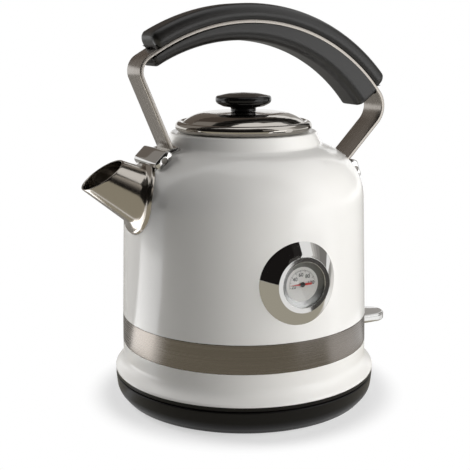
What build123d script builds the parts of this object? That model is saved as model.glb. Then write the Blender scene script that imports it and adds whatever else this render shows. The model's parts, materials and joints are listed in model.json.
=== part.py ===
from build123d import *
import math
import os

# Electric kettle on a power base. Millimetres and degrees.
# Frame: +Z up, origin on the table under the kettle's axis, spout towards -X, switch lever towards +X.

# Fits
seat_gap = 0.3              # free space between bodies that rest on each other
fit = 0.05                  # free space between pieces that are fixed together

# Power base
foot_proud = 1.0            # rubber feet below the moulding
base_height = 15.0          # moulding, underside to top rim
base_radius = 85.3          # at the top rim; the tray and the skirt's lip keep in line with it
knee_inset = 1.0            # from the rim in to where the side starts to curve under
base_knee_height = 5.2      # above the underside
base_knee_round = 8.0
underside_inset = 5.4       # from the rim in to the underside's edge
base_wall = 2.2
rim_width = 15.3            # from the rim in to the sunk middle of the top
dish_depth = 2.8
cover_thick = 2.0
foot_radius = 7.0
foot_inset = 13.9           # from the underside's edge in to a foot's middle
foot_sink = 0.8             # pocket depth in the cover
base_screw_circle = 50.0
base_boss_radius = 4.0

# Mains inlet in the base
gland_bore = 3.4            # radius, for a round mains lead
gland_wall = 1.2
gland_height = 8.2          # centre above the table
gland_length = 14.0
gland_proud = 1.2

# Round connector in the middle of the base
tower_radius = 18.4
tower_height = 20.0         # above the dish
hub_radius = 20.0
hub_flange = 23.5
hub_flange_thick = 2.6
pin_bore = 3.4
slot_inner = (6.2, 10.0)    # inner and outer radius of a ring slot
slot_outer = (12.4, 16.2)
slot_depth = 13.0
contact_thick = 0.9
contact_height = 6.0

# Black tray under the kettle
tray_inset = 0.1            # inside the base's rim
tray_height = 2.9
tray_plate = 2.0
tray_ring = 12.0            # width of the resting ring
tray_hole = 26.0
tray_screw_circle = 73.6
screw_radius = 1.5
screw_head = 3.0
screw_head_thick = 1.4
screw_length = 11.0

# White skirt
skirt_height = 18.5
skirt_wall = 2.2
skirt_spigot = 7.3          # part hidden by the trim band
flare_height = 5.3          # height over which the side runs out to the lip
flare_round = 9.6
lip_round = 2.2
lip_land = 0.3              # upright edge below the lip's round
boss_radius = 4.2
boss_height = 13.0

# Trim band and vessel
band_radius = 80.0          # at its lower edge
band_height = 18.1
body_radius = 79.64         # vessel, just above the band
wall_draft = 1.86           # side leans in
band_recess = 0.8           # vessel stands in under the band
wall = 1.0
side_height = 109.3         # band to neck foot
shoulder_slope = 22.0
shoulder_round = 35.0
neck_lean = 23.2
neck_round = 3.0
neck_height = 7.9
neck_radius = 46.4          # outside, at the rim
rim_round = 1.4
mouth_radius = 38.5
mouth_collar = 8.5

# Vessel floor and heater
floor_rise = 5.0            # floor above the vessel's lower edge
floor_thick = 1.0
floor_flange = 4.0
diffuser_radius = 55.0
diffuser_thick = 2.5
element_circle = 42.0
element_radius = 3.4
element_sweep = 300.0
terminal_radius = 1.8
terminal_length = 9.0

# Thermostat control with the socket for the connector
socket_gap = 0.9
control_wall = 6.4
control_roof = 4.0
control_flange = 6.8
control_flange_thick = 2.3
socket_pin = 2.0
socket_blade = 1.2
disc_radius = 6.0
disc_thick = 0.5
disc_spread = 14.0
control_screw_count = 3

# Steam tube
tube_radius = 4.0
tube_wall = 1.0
tube_place = 61.0           # distance from the axis
tube_top = 150.0
tube_foot_drop = 2.0        # below the floor
grommet_wall = 1.2
grommet_flange = 3.0

# Switch
pivot_place = 67.0          # distance of the pin from the axis
pivot_height = 36.0
pin_radius = 1.5
pin_play = 0.08
lever_width = 20.8
lever_thick = 5.8
lever_reach = 112.0         # tip, from the axis
lever_hub = 4.6
lever_travel = 14.0
lever_play = 1.2            # space round the lever in its slot
arm_reach = 9.0             # inner arm
arm_width = 8.0
arm_thick = 3.0
cheek_thick = 2.4
cheek_gap = 0.6
cheek_length = 22.0
housing_base = 2.0
plunger_radius = 2.0
plunger_length = 7.0
plunger_side = -6.0         # to one side of the steam tube
guide_thick = 2.5
steam_disc_radius = 7.0
vent_width = 7.0            # drain slots either side of the lever
vent_height = 4.0
vent_angle = 28.0

# Spout
spout_reach = 108.8         # tip, from the axis
spout_tip_height = 143.5
mouth_length = 29.9
mouth_tilt = 32.8
spout_lean = 29.6           # axis of the cone
spout_flare = 9.4           # half angle
spout_wall = 0.9
spout_inside = 45.0         # the cone ends this far from the vessel's axis
foot_flange = 4.0
foot_flange_thick = 1.8
filter_place = 104.0        # from the cone's point
filter_thick = 0.8
filter_hole = 1.0
filter_pitch = 3.6

# Lid and knob
lid_height = 12.1           # seat to the top of the dome
lid_thick = 0.8
bead_radius = 3.1
bead_circle = 40.5
dome_knee = 31.0
dome_drop = 0.8
dome_round = 25.0
plug_radius = 37.2
plug_depth = 16.0
plug_wall = 1.0
steam_hole = 2.0
seal_height = 4.0
seal_below = 4.5
knob_radius = 18.0
knob_height = 11.65
knob_stem = 7.8
knob_waist = 2.3
knob_screw = 2.0
knob_screw_head = 4.2
knob_screw_length = 10.0

# Handle
strap_width = 20.8
strap_thick = 2.5
front_foot = (-54.0, -0.95)     # strap end in the front bracket, in side view from the neck's foot
front_corner = (-75.8, 51.0)
arch_peak = (28.5, 110.0)       # where the two tangents of the arch meet
rear_corner = (106.8, 19.1)
rear_foot = (72.7, -15.64)
front_round = 10.0
arch_round = 124.0
rear_round = 15.0
grip_front = 30.5           # ends of the grip, from the vertical through the arch's centre
grip_rear = 50.0
grip_width = 24.0
grip_edge = 21.4
grip_tuck = 2.0             # sides lean in by this much
grip_rise = 9.8
grip_round = 5.5
grip_side_round = 2.0
palm_round = 111.1          # underside of the grip
palm_shift = (-7.8, 1.4)    # its centre from the arch's centre
palm_rear = 53.2            # rear end of the lower half, from the vertical through that centre
palm_side_round = 3.0
grip_screw_angles = (-18.0, 10.0, 38.0)
grip_screw_radius = 1.8
grip_screw_head = 3.2
grip_screw_seat = 4.0       # head's seat below the strap

# Brackets
front_place = 59.4          # angle on the shoulder's round
rear_place = 22.0
front_bar = (2.8, 0.7, 13.0)    # middle of the oval cross bar, downhill and outward, and its tilt
rear_bar = (-1.0, 1.2, 0.0)
bar_length = 35.0
bar_long = 13.0             # section, along the slope and outward
bar_thick = 6.6
bar_round = 3.0
bar_rim = 1.0
web_width = 22.8            # low block round the strap's end
web_uphill = 11.5
web_downhill = 4.0
web_edge = 0.5              # its height at the uphill edge, at its crest and downhill
web_crest = 3.6
web_low = 3.0
web_round = 4.0
web_edge_round = 0.4
bracket_depth = 7.0         # casting below the shoulder's tangent, before it is trimmed to the vessel
stud_radius = 2.0
stud_at = -1.0
stud_length = 8.0
nut_radius = 4.0
nut_thick = 3.0
cross_screw = 1.2
cross_head = 2.0
cross_head_thick = 1.2
cross_sink = 1.5            # depth of the well round the head
cross_length = 6.0

# Thermometer
dial_height = 91.1
dial_angle = 3.3            # turned from the side towards the spout
bezel_radius = 24.9
bezel_rise = 5.0
bezel_sink = 0.5            # of the flank's foot below the wall
bezel_ring = 16.7
bezel_round = 0.4
window_radius = 13.6
case_radius = 15.0
case_wall = 0.8
case_back = 0.3             # above the wall
case_depth = 2.9
lens_thick = 1.0
plate_radius = 13.8
plate_thick = 0.4
plate_gap = 0.3             # above the case's back
face_radius = 10.4          # part of the plate that the surround leaves free
needle_gap = 0.4            # above the plate
needle_thick = 0.4
needle_length = 8.2
needle_tail = 6.0
needle_width = 1.0
needle_hub = 1.4
spindle_radius = 0.8
spindle_play = 0.3
bearing_play = 0.08
bearing_radius = 2.0
bearing_height = 1.5
coil_turns = 3
coil_pitch = 2.0
coil_start = 1.7
coil_strip = 0.5
coil_width = 1.4
well_radius = 9.0           # pot through the wall, round the coil
well_depth = 8.0
seal_width = 3.5
ring_nut = 13.0
ring_nut_thick = 3.0

# Radii and heights that follow
base_knee = base_radius - knee_inset
base_foot_radius = base_radius - underside_inset
dish_radius = base_radius - rim_width
foot_circle = base_foot_radius - foot_inset
tray_radius = base_radius - tray_inset
flare = base_radius - band_radius
base_floor = foot_proud
base_rim = base_floor + base_height
dish_top = base_rim - dish_depth
dish_under = dish_top - base_wall
cover_top = base_floor + cover_thick
tray_under = base_rim + seat_gap
skirt_foot = tray_under + tray_height
band_foot = skirt_foot + skirt_height
band_top = band_foot + band_height
shell_foot = band_foot + skirt_spigot
floor_under = shell_foot + floor_rise
floor_top = floor_under + floor_thick
diffuser_under = floor_under - diffuser_thick
neck_foot = band_top + side_height
rim = neck_foot + neck_height
lid_seat = rim + seat_gap
lid_top = lid_seat + lid_height
tower_top = dish_top + tower_height
slot_floor = tower_top - slot_depth
socket_roof = tower_top + 3 * seat_gap
recess_radius = body_radius - band_recess


def outline(corners):
    """Flat face in the XZ plane; a corner's third value is its rounding radius."""
    points = [(c[0], 0, c[1]) for c in corners]
    radii = [c[2] if len(c) > 2 else 0 for c in corners]
    return make_face(FilletPolyline(*points, radius=radii, close=True))


def spun(corners):
    """Body of revolution about Z of an outline given as radius and height."""
    return revolve(outline(corners), Axis.Z)


def slab(corners, width):
    """Side view outline given a width across Y, centred."""
    return extrude(outline(corners), width / 2, both=True)


def rod(radius, low, high):
    """Upright round bar between two heights."""
    return Pos(0, 0, (low + high) / 2) * Cylinder(radius, high - low)


def tube(inner, outer, low, high):
    """Upright pipe between two heights."""
    return rod(outer, low, high) - rod(inner, low - 1, high + 1)


def around(part, circle, count, start=0.0):
    """Copies of a part placed on a circle about Z."""
    return [Rot(0, 0, start + 360 * i / count) * Pos(circle, 0, 0) * part for i in range(count)]


def cut(part, tools):
    """Part less every tool."""
    for tool in tools:
        part = part - tool
    return part


def group(solids):
    """Several separate pieces kept in one node."""
    return Compound(children=[s.solid() for s in solids])


def cap_screw(radius, head, head_thick, length):
    """Screw with its head's underside at the origin and its shank upwards."""
    return rod(radius, 0, length) + rod(head, -head_thick, 0)


def cross(p, n, q, m, inset):
    """Meeting point of two side-view lines, each moved inwards by inset along its outward normal."""
    a = n[0] * p[0] + n[1] * p[1] - inset
    b = m[0] * q[0] + m[1] * q[1] - inset
    d = n[0] * m[1] - n[1] * m[0]
    return ((a * m[1] - b * n[1]) / d, (b * n[0] - a * m[0]) / d)


def direction(angle):
    """Unit vector at an angle above the horizontal."""
    return (math.cos(math.radians(angle)), math.sin(math.radians(angle)))


# Vessel side, as three straight lines: wall, shoulder and neck
wall_foot = (body_radius, band_top)
neck_slope = math.tan(math.radians(neck_lean))
neck_base = (neck_radius + neck_height * neck_slope, neck_foot)
wall_out = direction(wall_draft)
shoulder_out = direction(90 - shoulder_slope)
neck_out = direction(neck_lean)


def wall_radius(height):
    """Outside radius of the vessel's straight side."""
    return body_radius - (height - band_top) * math.tan(math.radians(wall_draft))


def shoulder_corner(inset):
    return cross(wall_foot, wall_out, neck_base, shoulder_out, inset)


def neck_corner(inset):
    return cross(neck_base, shoulder_out, neck_base, neck_out, inset)


def neck_at(height, inset):
    return cross(neck_base, neck_out, (0, height + inset), (0.0, 1.0), inset)[0]


def vessel_form(inset):
    """The vessel as a filled form, its side moved inwards by inset."""
    return spun([
        (0, shell_foot),
        (wall_radius(shell_foot) - inset, shell_foot),
        (*shoulder_corner(inset), shoulder_round - inset),
        (*neck_corner(inset), neck_round + inset),
        (neck_at(rim, inset), rim),
        (0, rim)])


# Power base
def make_base_shell():
    hollow = dish_radius + base_wall
    shell = spun([
        (hub_radius + seat_gap, dish_top),
        (dish_radius, dish_top, 1.0),
        (dish_radius + dish_depth / 2, base_rim, 1.0),
        (base_radius, base_rim, 0.8),
        (base_knee, base_floor + base_knee_height, base_knee_round),
        (base_foot_radius, base_floor),
        (base_foot_radius - base_wall, base_floor),
        (base_knee - base_wall, base_floor + base_knee_height, base_knee_round - base_wall),
        (base_radius - base_wall, base_rim - base_wall),
        (hollow, base_rim - base_wall),
        (hollow - dish_depth / 2, dish_under),
        (hub_radius + seat_gap, dish_under)])
    boss = tube(screw_radius, base_boss_radius, cover_top, dish_under)
    for piece in around(boss, base_screw_circle, 3, 30):
        shell += piece
    return shell - gland_form(fit)


def gland_form(grow):
    body = Cylinder(gland_bore + gland_wall + grow, gland_length)
    middle = base_radius + gland_proud - gland_length / 2
    return Pos(0, middle, gland_height) * Rot(90, 0, 0) * body


def make_cord_gland():
    middle = base_radius + gland_proud - gland_length / 2
    collar = Pos(0, middle - gland_length / 2 + 1, gland_height) * Rot(90, 0, 0)
    flange = collar * Cylinder(gland_bore + 1.25 * gland_wall, 2)
    bore = Pos(0, middle, gland_height) * Rot(90, 0, 0) * Cylinder(gland_bore, 2 * gland_length)
    return gland_form(0) + flange - bore


def make_base_cover():
    plate = rod(base_foot_radius - base_wall - fit, base_floor, cover_top)
    bearing = tube(pin_bore, hub_flange - 2, cover_top, hub_under() - seat_gap)
    pocket = rod(foot_radius + fit, base_floor, base_floor + foot_sink)
    well = rod(screw_head + 0.2, base_floor, base_floor + screw_head_thick / 2)
    hole = rod(screw_radius + 0.2, base_floor, cover_top)
    plate = cut(plate + bearing, around(pocket, foot_circle, 4, 45))
    return cut(plate, around(well + hole, base_screw_circle, 3, 30))


def hub_under():
    return dish_under - seat_gap - hub_flange_thick


def make_base_feet():
    pad = rod(foot_radius, 0, base_floor + foot_sink)
    return group(around(pad, foot_circle, 4, 45))


def make_base_screws():
    seat = base_floor + screw_head_thick / 2
    screw = Pos(0, 0, seat) * cap_screw(screw_radius - fit, screw_head, screw_head_thick / 2, 7)
    return group(around(screw, base_screw_circle, 3, 30))


def make_base_connector():
    hub = hub_under()
    body = spun([
        (0, hub),
        (hub_flange, hub),
        (hub_flange, hub + hub_flange_thick),
        (hub_radius, hub + hub_flange_thick),
        (hub_radius, dish_top + 1),
        (tower_radius, dish_top + 2),
        (tower_radius, tower_top, 1.5),
        (0, tower_top)])
    body -= rod(pin_bore, slot_floor, tower_top + 1)
    for inner, outer in (slot_inner, slot_outer):
        body -= tube(inner, outer, slot_floor, tower_top + 1)
    return body


def make_contact_ring(slot):
    inner, outer = slot
    return tube(inner + fit, inner + fit + contact_thick, slot_floor, slot_floor + contact_height)


def make_contact_pin():
    return tube(pin_bore - fit - contact_thick, pin_bore - fit, slot_floor, slot_floor + contact_height)


# Underside of the kettle
def tray_screws_at(part):
    return around(part, tray_screw_circle, 4, 45)


def make_bottom_tray():
    plate_under = skirt_foot - tray_plate
    tray = spun([
        (tray_hole, plate_under),
        (tray_radius - tray_ring - 1, plate_under),
        (tray_radius - tray_ring, tray_under),
        (tray_radius - 0.8, tray_under),
        (tray_radius, tray_under + 0.8),
        (tray_radius, skirt_foot),
        (tray_hole, skirt_foot)])
    well = rod(screw_head + 0.2, tray_under - 1, tray_under + screw_head_thick + 0.4)
    hole = rod(screw_radius + 0.2, tray_under, skirt_foot + 1)
    return cut(tray, tray_screws_at(well + hole) + control_screws_at(rod(screw_radius, 0, skirt_foot + 1)))


def make_bottom_screws():
    seat = tray_under + screw_head_thick + 0.4
    screw = Pos(0, 0, seat) * cap_screw(screw_radius - fit, screw_head, screw_head_thick, screw_length)
    return group(tray_screws_at(screw))


def lever_slot():
    """Room for the lever's swing through the skirt and the band."""
    drop = (recess_radius - pivot_place) * math.tan(math.radians(lever_travel))
    low = pivot_height - lever_thick / 2 - drop - lever_play
    high = pivot_height + lever_thick / 2 + lever_play
    inner = pivot_place + lever_hub
    block = Box(lever_reach - inner, lever_width + 2 * lever_play, high - low)
    return Pos((inner + lever_reach) / 2, 0, (low + high) / 2) * block


def make_skirt():
    turn = abs(math.atan2(flare, flare_height))
    lip = skirt_foot + lip_land + lip_round * math.tan(turn / 2)
    inside = recess_radius - skirt_wall
    skirt = spun([
        (inside, skirt_foot),
        (band_radius + flare, skirt_foot),
        (band_radius + flare, lip, lip_round),
        (band_radius, lip + flare_height, flare_round),
        (band_radius, band_foot),
        (recess_radius, band_foot),
        (recess_radius, shell_foot),
        (inside, shell_foot)])
    bosses = tray_screws_at(rod(boss_radius, skirt_foot, skirt_foot + boss_height))
    vent = Box(4 * skirt_wall, vent_width, vent_height)
    vent = Pos(band_radius, 0, band_foot - 2 - vent_height / 2) * vent
    for boss in bosses:
        skirt += boss
    vents = [Rot(0, 0, side * vent_angle) * vent for side in (-1, 1)]
    holes = tray_screws_at(rod(screw_radius, skirt_foot - 1, skirt_foot + boss_height - 1))
    return cut(skirt, vents + holes + [lever_slot()])


def make_trim_band():
    band = spun([
        (recess_radius + fit, band_foot),
        (band_radius, band_foot),
        (body_radius, band_top),
        (recess_radius + fit, band_top)])
    return band - lever_slot()


# Vessel
def make_body_shell():
    step = band_top + wall
    shell = spun([
        (recess_radius, shell_foot),
        (recess_radius, band_top),
        (body_radius, band_top),
        (*shoulder_corner(0), shoulder_round),
        (*neck_corner(0), neck_round),
        (neck_at(rim - wall, 0), rim - wall),
        (neck_at(rim - wall, wall), rim - wall),
        (*neck_corner(wall), neck_round + wall),
        (*shoulder_corner(wall), shoulder_round - wall),
        (wall_radius(step) - wall, step),
        (recess_radius - wall, band_top - wall),
        (recess_radius - wall, shell_foot)])
    well_hole = dial_frame() * rod(well_radius + fit, -well_depth, bezel_rise)
    stud_hole = [place * stud_bore() for place in bracket_frames()]
    return cut(shell, [spout_cone(spout_wall), well_hole] + stud_hole)


def make_mouth_ring():
    """Pressed ring that closes the neck: a flat rim with a collar hanging inside the mouth."""
    return spun([
        (neck_at(rim - wall, 0), rim - wall),
        (neck_at(rim, 0), rim, rim_round),
        (mouth_radius, rim),
        (mouth_radius, rim - mouth_collar),
        (mouth_radius + wall, rim - mouth_collar),
        (mouth_radius + wall, rim - wall)])


def make_vessel_floor():
    edge = recess_radius - wall - fit
    floor = spun([
        (0, floor_under),
        (edge, floor_under, 1.0),
        (edge, floor_under + floor_flange),
        (edge - floor_thick, floor_under + floor_flange),
        (edge - floor_thick, floor_top),
        (0, floor_top)])
    hole = rod(tube_radius + grommet_wall + fit, floor_under - 1, floor_top + 1)
    return floor - Pos(tube_place, 0, 0) * hole


def make_diffuser_plate():
    return rod(diffuser_radius, diffuser_under, floor_under)


def make_heating_element():
    level = diffuser_under - element_radius - fit
    ring = Pos(element_circle, 0, level) * Rot(90, 0, 0) * Circle(element_radius)
    gap = 360 - element_sweep
    coil = revolve(Rot(0, 0, 180 + gap / 2) * ring, Axis.Z, element_sweep)
    tail = rod(terminal_radius, level - terminal_length, level)
    for side in (-1, 1):
        coil += Rot(0, 0, 180 + side * (gap / 2 + 3)) * Pos(element_circle, 0, 0) * tail
    return coil


def control_radius():
    return tower_radius + socket_gap + control_wall


def control_screws_at(part):
    return around(part, control_radius() + control_flange / 2, control_screw_count, 90)


def make_control_unit():
    top = socket_roof + control_roof
    flange = skirt_foot + control_flange_thick
    body = spun([
        (tower_radius + socket_gap, skirt_foot),
        (control_radius() + control_flange, skirt_foot),
        (control_radius() + control_flange, flange),
        (control_radius(), flange),
        (control_radius(), top, 1.5),
        (0, top),
        (0, socket_roof),
        (tower_radius + socket_gap, socket_roof)])
    post = rod(disc_radius + 1, top, diffuser_under - disc_thick)
    for side in (-1, 1):
        body += Pos(0, side * disc_spread, 0) * post
    return cut(body, control_screws_at(rod(screw_radius, skirt_foot - 1, flange + 1)))


def make_control_screws():
    screw = Pos(0, 0, skirt_foot + control_flange_thick) * Rot(180, 0, 0)
    screw = screw * cap_screw(screw_radius - fit, screw_head, screw_head_thick,
                              control_flange_thick + tray_plate)
    return group(control_screws_at(screw))


def make_socket_contacts():
    foot = slot_floor + contact_height / 2
    pieces = [rod(socket_pin, foot, socket_roof)]
    for inner, outer in (slot_inner, slot_outer):
        near = inner + fit + contact_thick + seat_gap
        pieces.append(tube(near, near + socket_blade, foot, socket_roof))
    return group(pieces)


def make_overheat_discs():
    disc = rod(disc_radius, diffuser_under - disc_thick, diffuser_under)
    return group([Pos(0, side * disc_spread, 0) * disc for side in (-1, 1)])


def make_steam_tube():
    pipe = tube(tube_radius - tube_wall, tube_radius, floor_under - tube_foot_drop, tube_top)
    return Pos(tube_place, 0, 0) * pipe


def make_tube_grommet():
    inner = tube_radius + fit
    ring = spun([
        (inner, floor_under - 1),
        (inner + grommet_wall - fit, floor_under - 1),
        (inner + grommet_wall - fit, floor_top),
        (inner + grommet_flange, floor_top),
        (inner + grommet_flange, floor_top + 1.2),
        (inner, floor_top + 1.2)])
    return Pos(tube_place, 0, 0) * ring


# Switch
def cheek_place():
    return lever_width / 2 + cheek_gap + cheek_thick / 2


def plunger_foot():
    return pivot_height + arm_thick / 2 + seat_gap


def plunger_place():
    return pivot_place - arm_reach + plunger_radius


def make_switch_housing():
    roof = plunger_foot() + plunger_length / 2
    high = roof + guide_thick
    rear = pivot_place + lever_hub
    middle = rear - cheek_length / 2
    width = 2 * cheek_place() + cheek_thick
    body = Pos(middle, 0, skirt_foot + housing_base / 2) * Box(cheek_length, width, housing_base)
    cheek = Box(cheek_length, cheek_thick, high - skirt_foot)
    for side in (-1, 1):
        body += Pos(middle, side * cheek_place(), (high + skirt_foot) / 2) * cheek
    bridge = Box(2 * plunger_radius + 5, width, guide_thick)
    body += Pos(plunger_place(), 0, roof + guide_thick / 2) * bridge
    back = Box(guide_thick, width, high - skirt_foot)
    body += Pos(rear - cheek_length + guide_thick / 2, 0, (high + skirt_foot) / 2) * back
    body -= Pos(plunger_place(), plunger_side, 0) * rod(plunger_radius + seat_gap, roof - 1, high + 1)
    return body - pin_form(pin_play)


def pin_form(grow):
    length = 2 * cheek_place() + cheek_thick
    return Pos(pivot_place, 0, pivot_height) * Rot(90, 0, 0) * Cylinder(pin_radius + grow, length)


def make_lever_pin():
    return pin_form(fit - pin_play)


def make_switch_lever():
    half = lever_width / 2
    tip = lever_reach - half
    plan = make_face(Polyline((pivot_place, -half), (tip, -half)) + ThreePointArc(
        (tip, -half), (lever_reach, 0), (tip, half)) + Polyline(
        (tip, half), (pivot_place, half), (pivot_place, -half)))
    plate = Pos(0, 0, pivot_height - lever_thick / 2) * extrude(plan, lever_thick)
    plate = fillet(plate.edges().filter_by(GeomType.CIRCLE), lever_thick / 4)
    hub = Pos(pivot_place, 0, pivot_height) * Rot(90, 0, 0) * Cylinder(lever_hub, lever_width)
    middle = pivot_place - arm_reach / 2
    arm = Pos(middle, plunger_side, pivot_height) * Box(arm_reach, arm_width, arm_thick)
    return plate + hub + arm - pin_form(pin_play)


def make_contact_plunger():
    stem = rod(plunger_radius, plunger_foot(), plunger_foot() + plunger_length)
    return Pos(plunger_place(), plunger_side, 0) * fillet(stem.edges(), 0.5)


def make_steam_disc():
    wall_face = pivot_place + lever_hub - cheek_length + guide_thick
    disc = Rot(0, 90, 0) * Cylinder(steam_disc_radius, disc_thick)
    return Pos(wall_face + disc_thick / 2, 0, plunger_foot() - 6) * disc


# Spout
def spout_point():
    """Sharp end of the spout's cone in the side view, from the mouth's two ends."""
    tip = (-spout_reach, spout_tip_height)
    along = direction(mouth_tilt)
    top = (tip[0] + mouth_length * along[0], tip[1] + mouth_length * along[1])
    return cross(tip, direction(90 - spout_lean - spout_flare), top,
                 direction(90 - spout_lean + spout_flare), 0)


def spout_frame(shift):
    """Local frame with +Z from the cone's point, moved along by shift, towards the vessel."""
    point = spout_point()
    along = direction(-spout_lean)
    origin = (point[0] + shift * along[0], 0, point[1] + shift * along[1])
    return Plane(origin=origin, x_dir=(0, 1, 0), z_dir=(along[0], 0, along[1])).location


def spout_cone(inset):
    """Filled cone of the spout, its side moved inwards by inset."""
    shift = inset / math.sin(math.radians(spout_flare))
    length = (-spout_inside - spout_point()[0]) / direction(spout_lean)[0] - shift
    spread = length * math.tan(math.radians(spout_flare))
    return spout_frame(shift) * spun([(0, 0), (spread, length), (0, length)])


def make_spout():
    vessel = vessel_form(0)
    flange = (spout_cone(-foot_flange) & vessel_form(-foot_flange_thick)) - vessel
    slant = direction(mouth_tilt)
    tip = (-spout_reach, 0, spout_tip_height)
    mouth = Plane(origin=tip, x_dir=(0, 1, 0), z_dir=(slant[1], 0, -slant[0]))
    cone = split(spout_cone(0), bisect_by=mouth, keep=Keep.TOP) - vessel
    return cone + flange - spout_cone(spout_wall)


def make_spout_filter():
    place = filter_place
    shift = spout_wall / math.sin(math.radians(spout_flare))
    radius = (place - shift) * math.tan(math.radians(spout_flare)) - fit
    sieve = rod(radius, place, place + filter_thick)
    rows = int(radius / filter_pitch)
    hole = rod(filter_hole, place - 1, place + filter_thick + 1)
    holes = [Pos(i * filter_pitch, j * filter_pitch, 0) * hole
             for i in range(-rows, rows + 1) for j in range(-rows, rows + 1)
             if math.hypot(i, j) * filter_pitch < radius - 2 * filter_hole]
    return spout_frame(0) * cut(sieve, holes)


# Handle
def above_neck(point):
    """Side-view point of the handle, which rides with the height of the neck's foot."""
    return (point[0], neck_foot + point[1])


def arch_centre():
    """Centre of the handle's arch, at equal distance from its two tangents."""
    peak = above_neck(arch_peak)
    front = math.atan2(arch_peak[1] - front_corner[1], arch_peak[0] - front_corner[0])
    rear = math.atan2(arch_peak[1] - rear_corner[1], rear_corner[0] - arch_peak[0])
    front_out = (-math.sin(front), math.cos(front))
    rear_out = (math.sin(rear), math.cos(rear))
    return cross(peak, front_out, peak, rear_out, arch_round)


def strap_form(thick, width):
    """Bent strap: its centre line carried half the thickness to either side."""
    route = [front_foot, front_corner, arch_peak, rear_corner, rear_foot]
    centre = [above_neck(point) for point in route]
    rounds = [front_round, arch_round, rear_round]
    sides = []
    for offset in (thick / 2, -thick / 2):
        normals = []
        for a, b in zip(centre[:-1], centre[1:]):
            length = math.dist(a, b)
            normals.append(((a[1] - b[1]) / length, (b[0] - a[0]) / length))
        points = [(centre[0][0] + offset * normals[0][0], centre[0][1] + offset * normals[0][1])]
        for corner, n, m, bend in zip(centre[1:-1], normals[:-1], normals[1:], rounds):
            points.append((*cross(corner, n, corner, m, -offset), bend + offset))
        last = normals[-1]
        points.append((centre[-1][0] + offset * last[0], centre[-1][1] + offset * last[1]))
        sides.append(points)
    return slab(sides[0] + sides[1][::-1], width)


def arch_frame(angle):
    """Local frame at the arch's centre with +Z outwards at an angle from the vertical."""
    centre = arch_centre()
    return Pos(centre[0], 0, centre[1]) * Rot(0, angle, 0)


def grip_holes(radius):
    middle = arch_round
    bar = rod(radius, middle - strap_thick, middle + strap_thick)
    return [arch_frame(angle) * bar for angle in grip_screw_angles]


def make_handle_strap():
    return cut(strap_form(strap_thick, strap_width), grip_holes(grip_screw_radius + 0.2))


def grip_section(points, centre, rear):
    """Grip cross-section at its front end, carried round to its rear end."""
    corners = [(0, p[0], p[1]) for p in points]
    face = make_face(FilletPolyline(*corners, radius=[p[2] for p in points], close=True))
    face = Pos(centre[0], 0, centre[1]) * Rot(0, -grip_front, 0) * face
    axis = Axis((centre[0], 0, centre[1]), (0, 1, 0))
    return revolve(face, axis, grip_front + rear)


def make_grip_upper():
    low = arch_round + strap_thick / 2 + fit
    half = grip_width / 2
    edge = grip_edge / 2
    body = grip_section([
        (-edge, low, 0), (edge, low, 0),
        (half, low + grip_rise / 3, grip_side_round), (half - grip_tuck, low + grip_rise, grip_round),
        (grip_tuck - half, low + grip_rise, grip_round),
        (-half, low + grip_rise / 3, grip_side_round)], arch_centre(), grip_rear)
    bore = rod(grip_screw_radius, low - 1, low + grip_rise * 0.7)
    return cut(body, [arch_frame(angle) * bore for angle in grip_screw_angles])


def palm_centre():
    centre = arch_centre()
    return (centre[0] + palm_shift[0], centre[1] + palm_shift[1])


def make_grip_lower():
    top = arch_round - strap_thick / 2 - fit
    half = grip_width / 2
    high = palm_round + 2 * grip_width
    body = grip_section([
        (-half, high, 0), (half, high, 0), (half, palm_round + grip_rise / 2, palm_side_round),
        (half - grip_tuck, palm_round, grip_round), (grip_tuck - half, palm_round, grip_round),
        (-half, palm_round + grip_rise / 2, palm_side_round)], palm_centre(), palm_rear)
    centre = arch_centre()
    inside = Pos(centre[0], 0, centre[1]) * Rot(90, 0, 0) * Cylinder(top, 2 * grip_width)
    body = body & inside
    bore = rod(grip_screw_radius + 0.2, 0, top + 1)
    well = rod(grip_screw_head + 0.3, 0, grip_head_seat())
    return cut(body, [arch_frame(angle) * (bore + well) for angle in grip_screw_angles])


def grip_head_seat():
    return arch_round - strap_thick / 2 - grip_screw_seat


def make_grip_screws():
    length = arch_round + strap_thick / 2 + grip_rise * 0.6 - grip_head_seat()
    screw = Pos(0, 0, grip_head_seat()) * cap_screw(grip_screw_radius - fit, grip_screw_head, 2, length)
    return group([arch_frame(angle) * screw for angle in grip_screw_angles])


# Brackets
def shoulder_frame(place):
    """Local frame on the shoulder's round, rear side: +X downhill, +Z straight out."""
    centre = shoulder_corner(shoulder_round)
    out = direction(place)
    origin = (centre[0] + shoulder_round * out[0], 0, centre[1] + shoulder_round * out[1])
    return Pos(*origin) * Rot(0, 90 - place, 0)


def bracket_frames():
    """Frames of the front bracket, half a turn round, and of the rear one."""
    return [Rot(0, 0, 180) * shoulder_frame(front_place), shoulder_frame(rear_place)]


def stud_bore():
    return Pos(stud_at, 0, 0) * rod(stud_radius + fit, -stud_length, stud_length / 3)


def bar_frame(bar):
    """Middle of the oval bar in a bracket's frame, with +X along the section's long side."""
    return Pos(bar[0], 0, bar[1]) * Rot(0, bar[2], 0)


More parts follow.
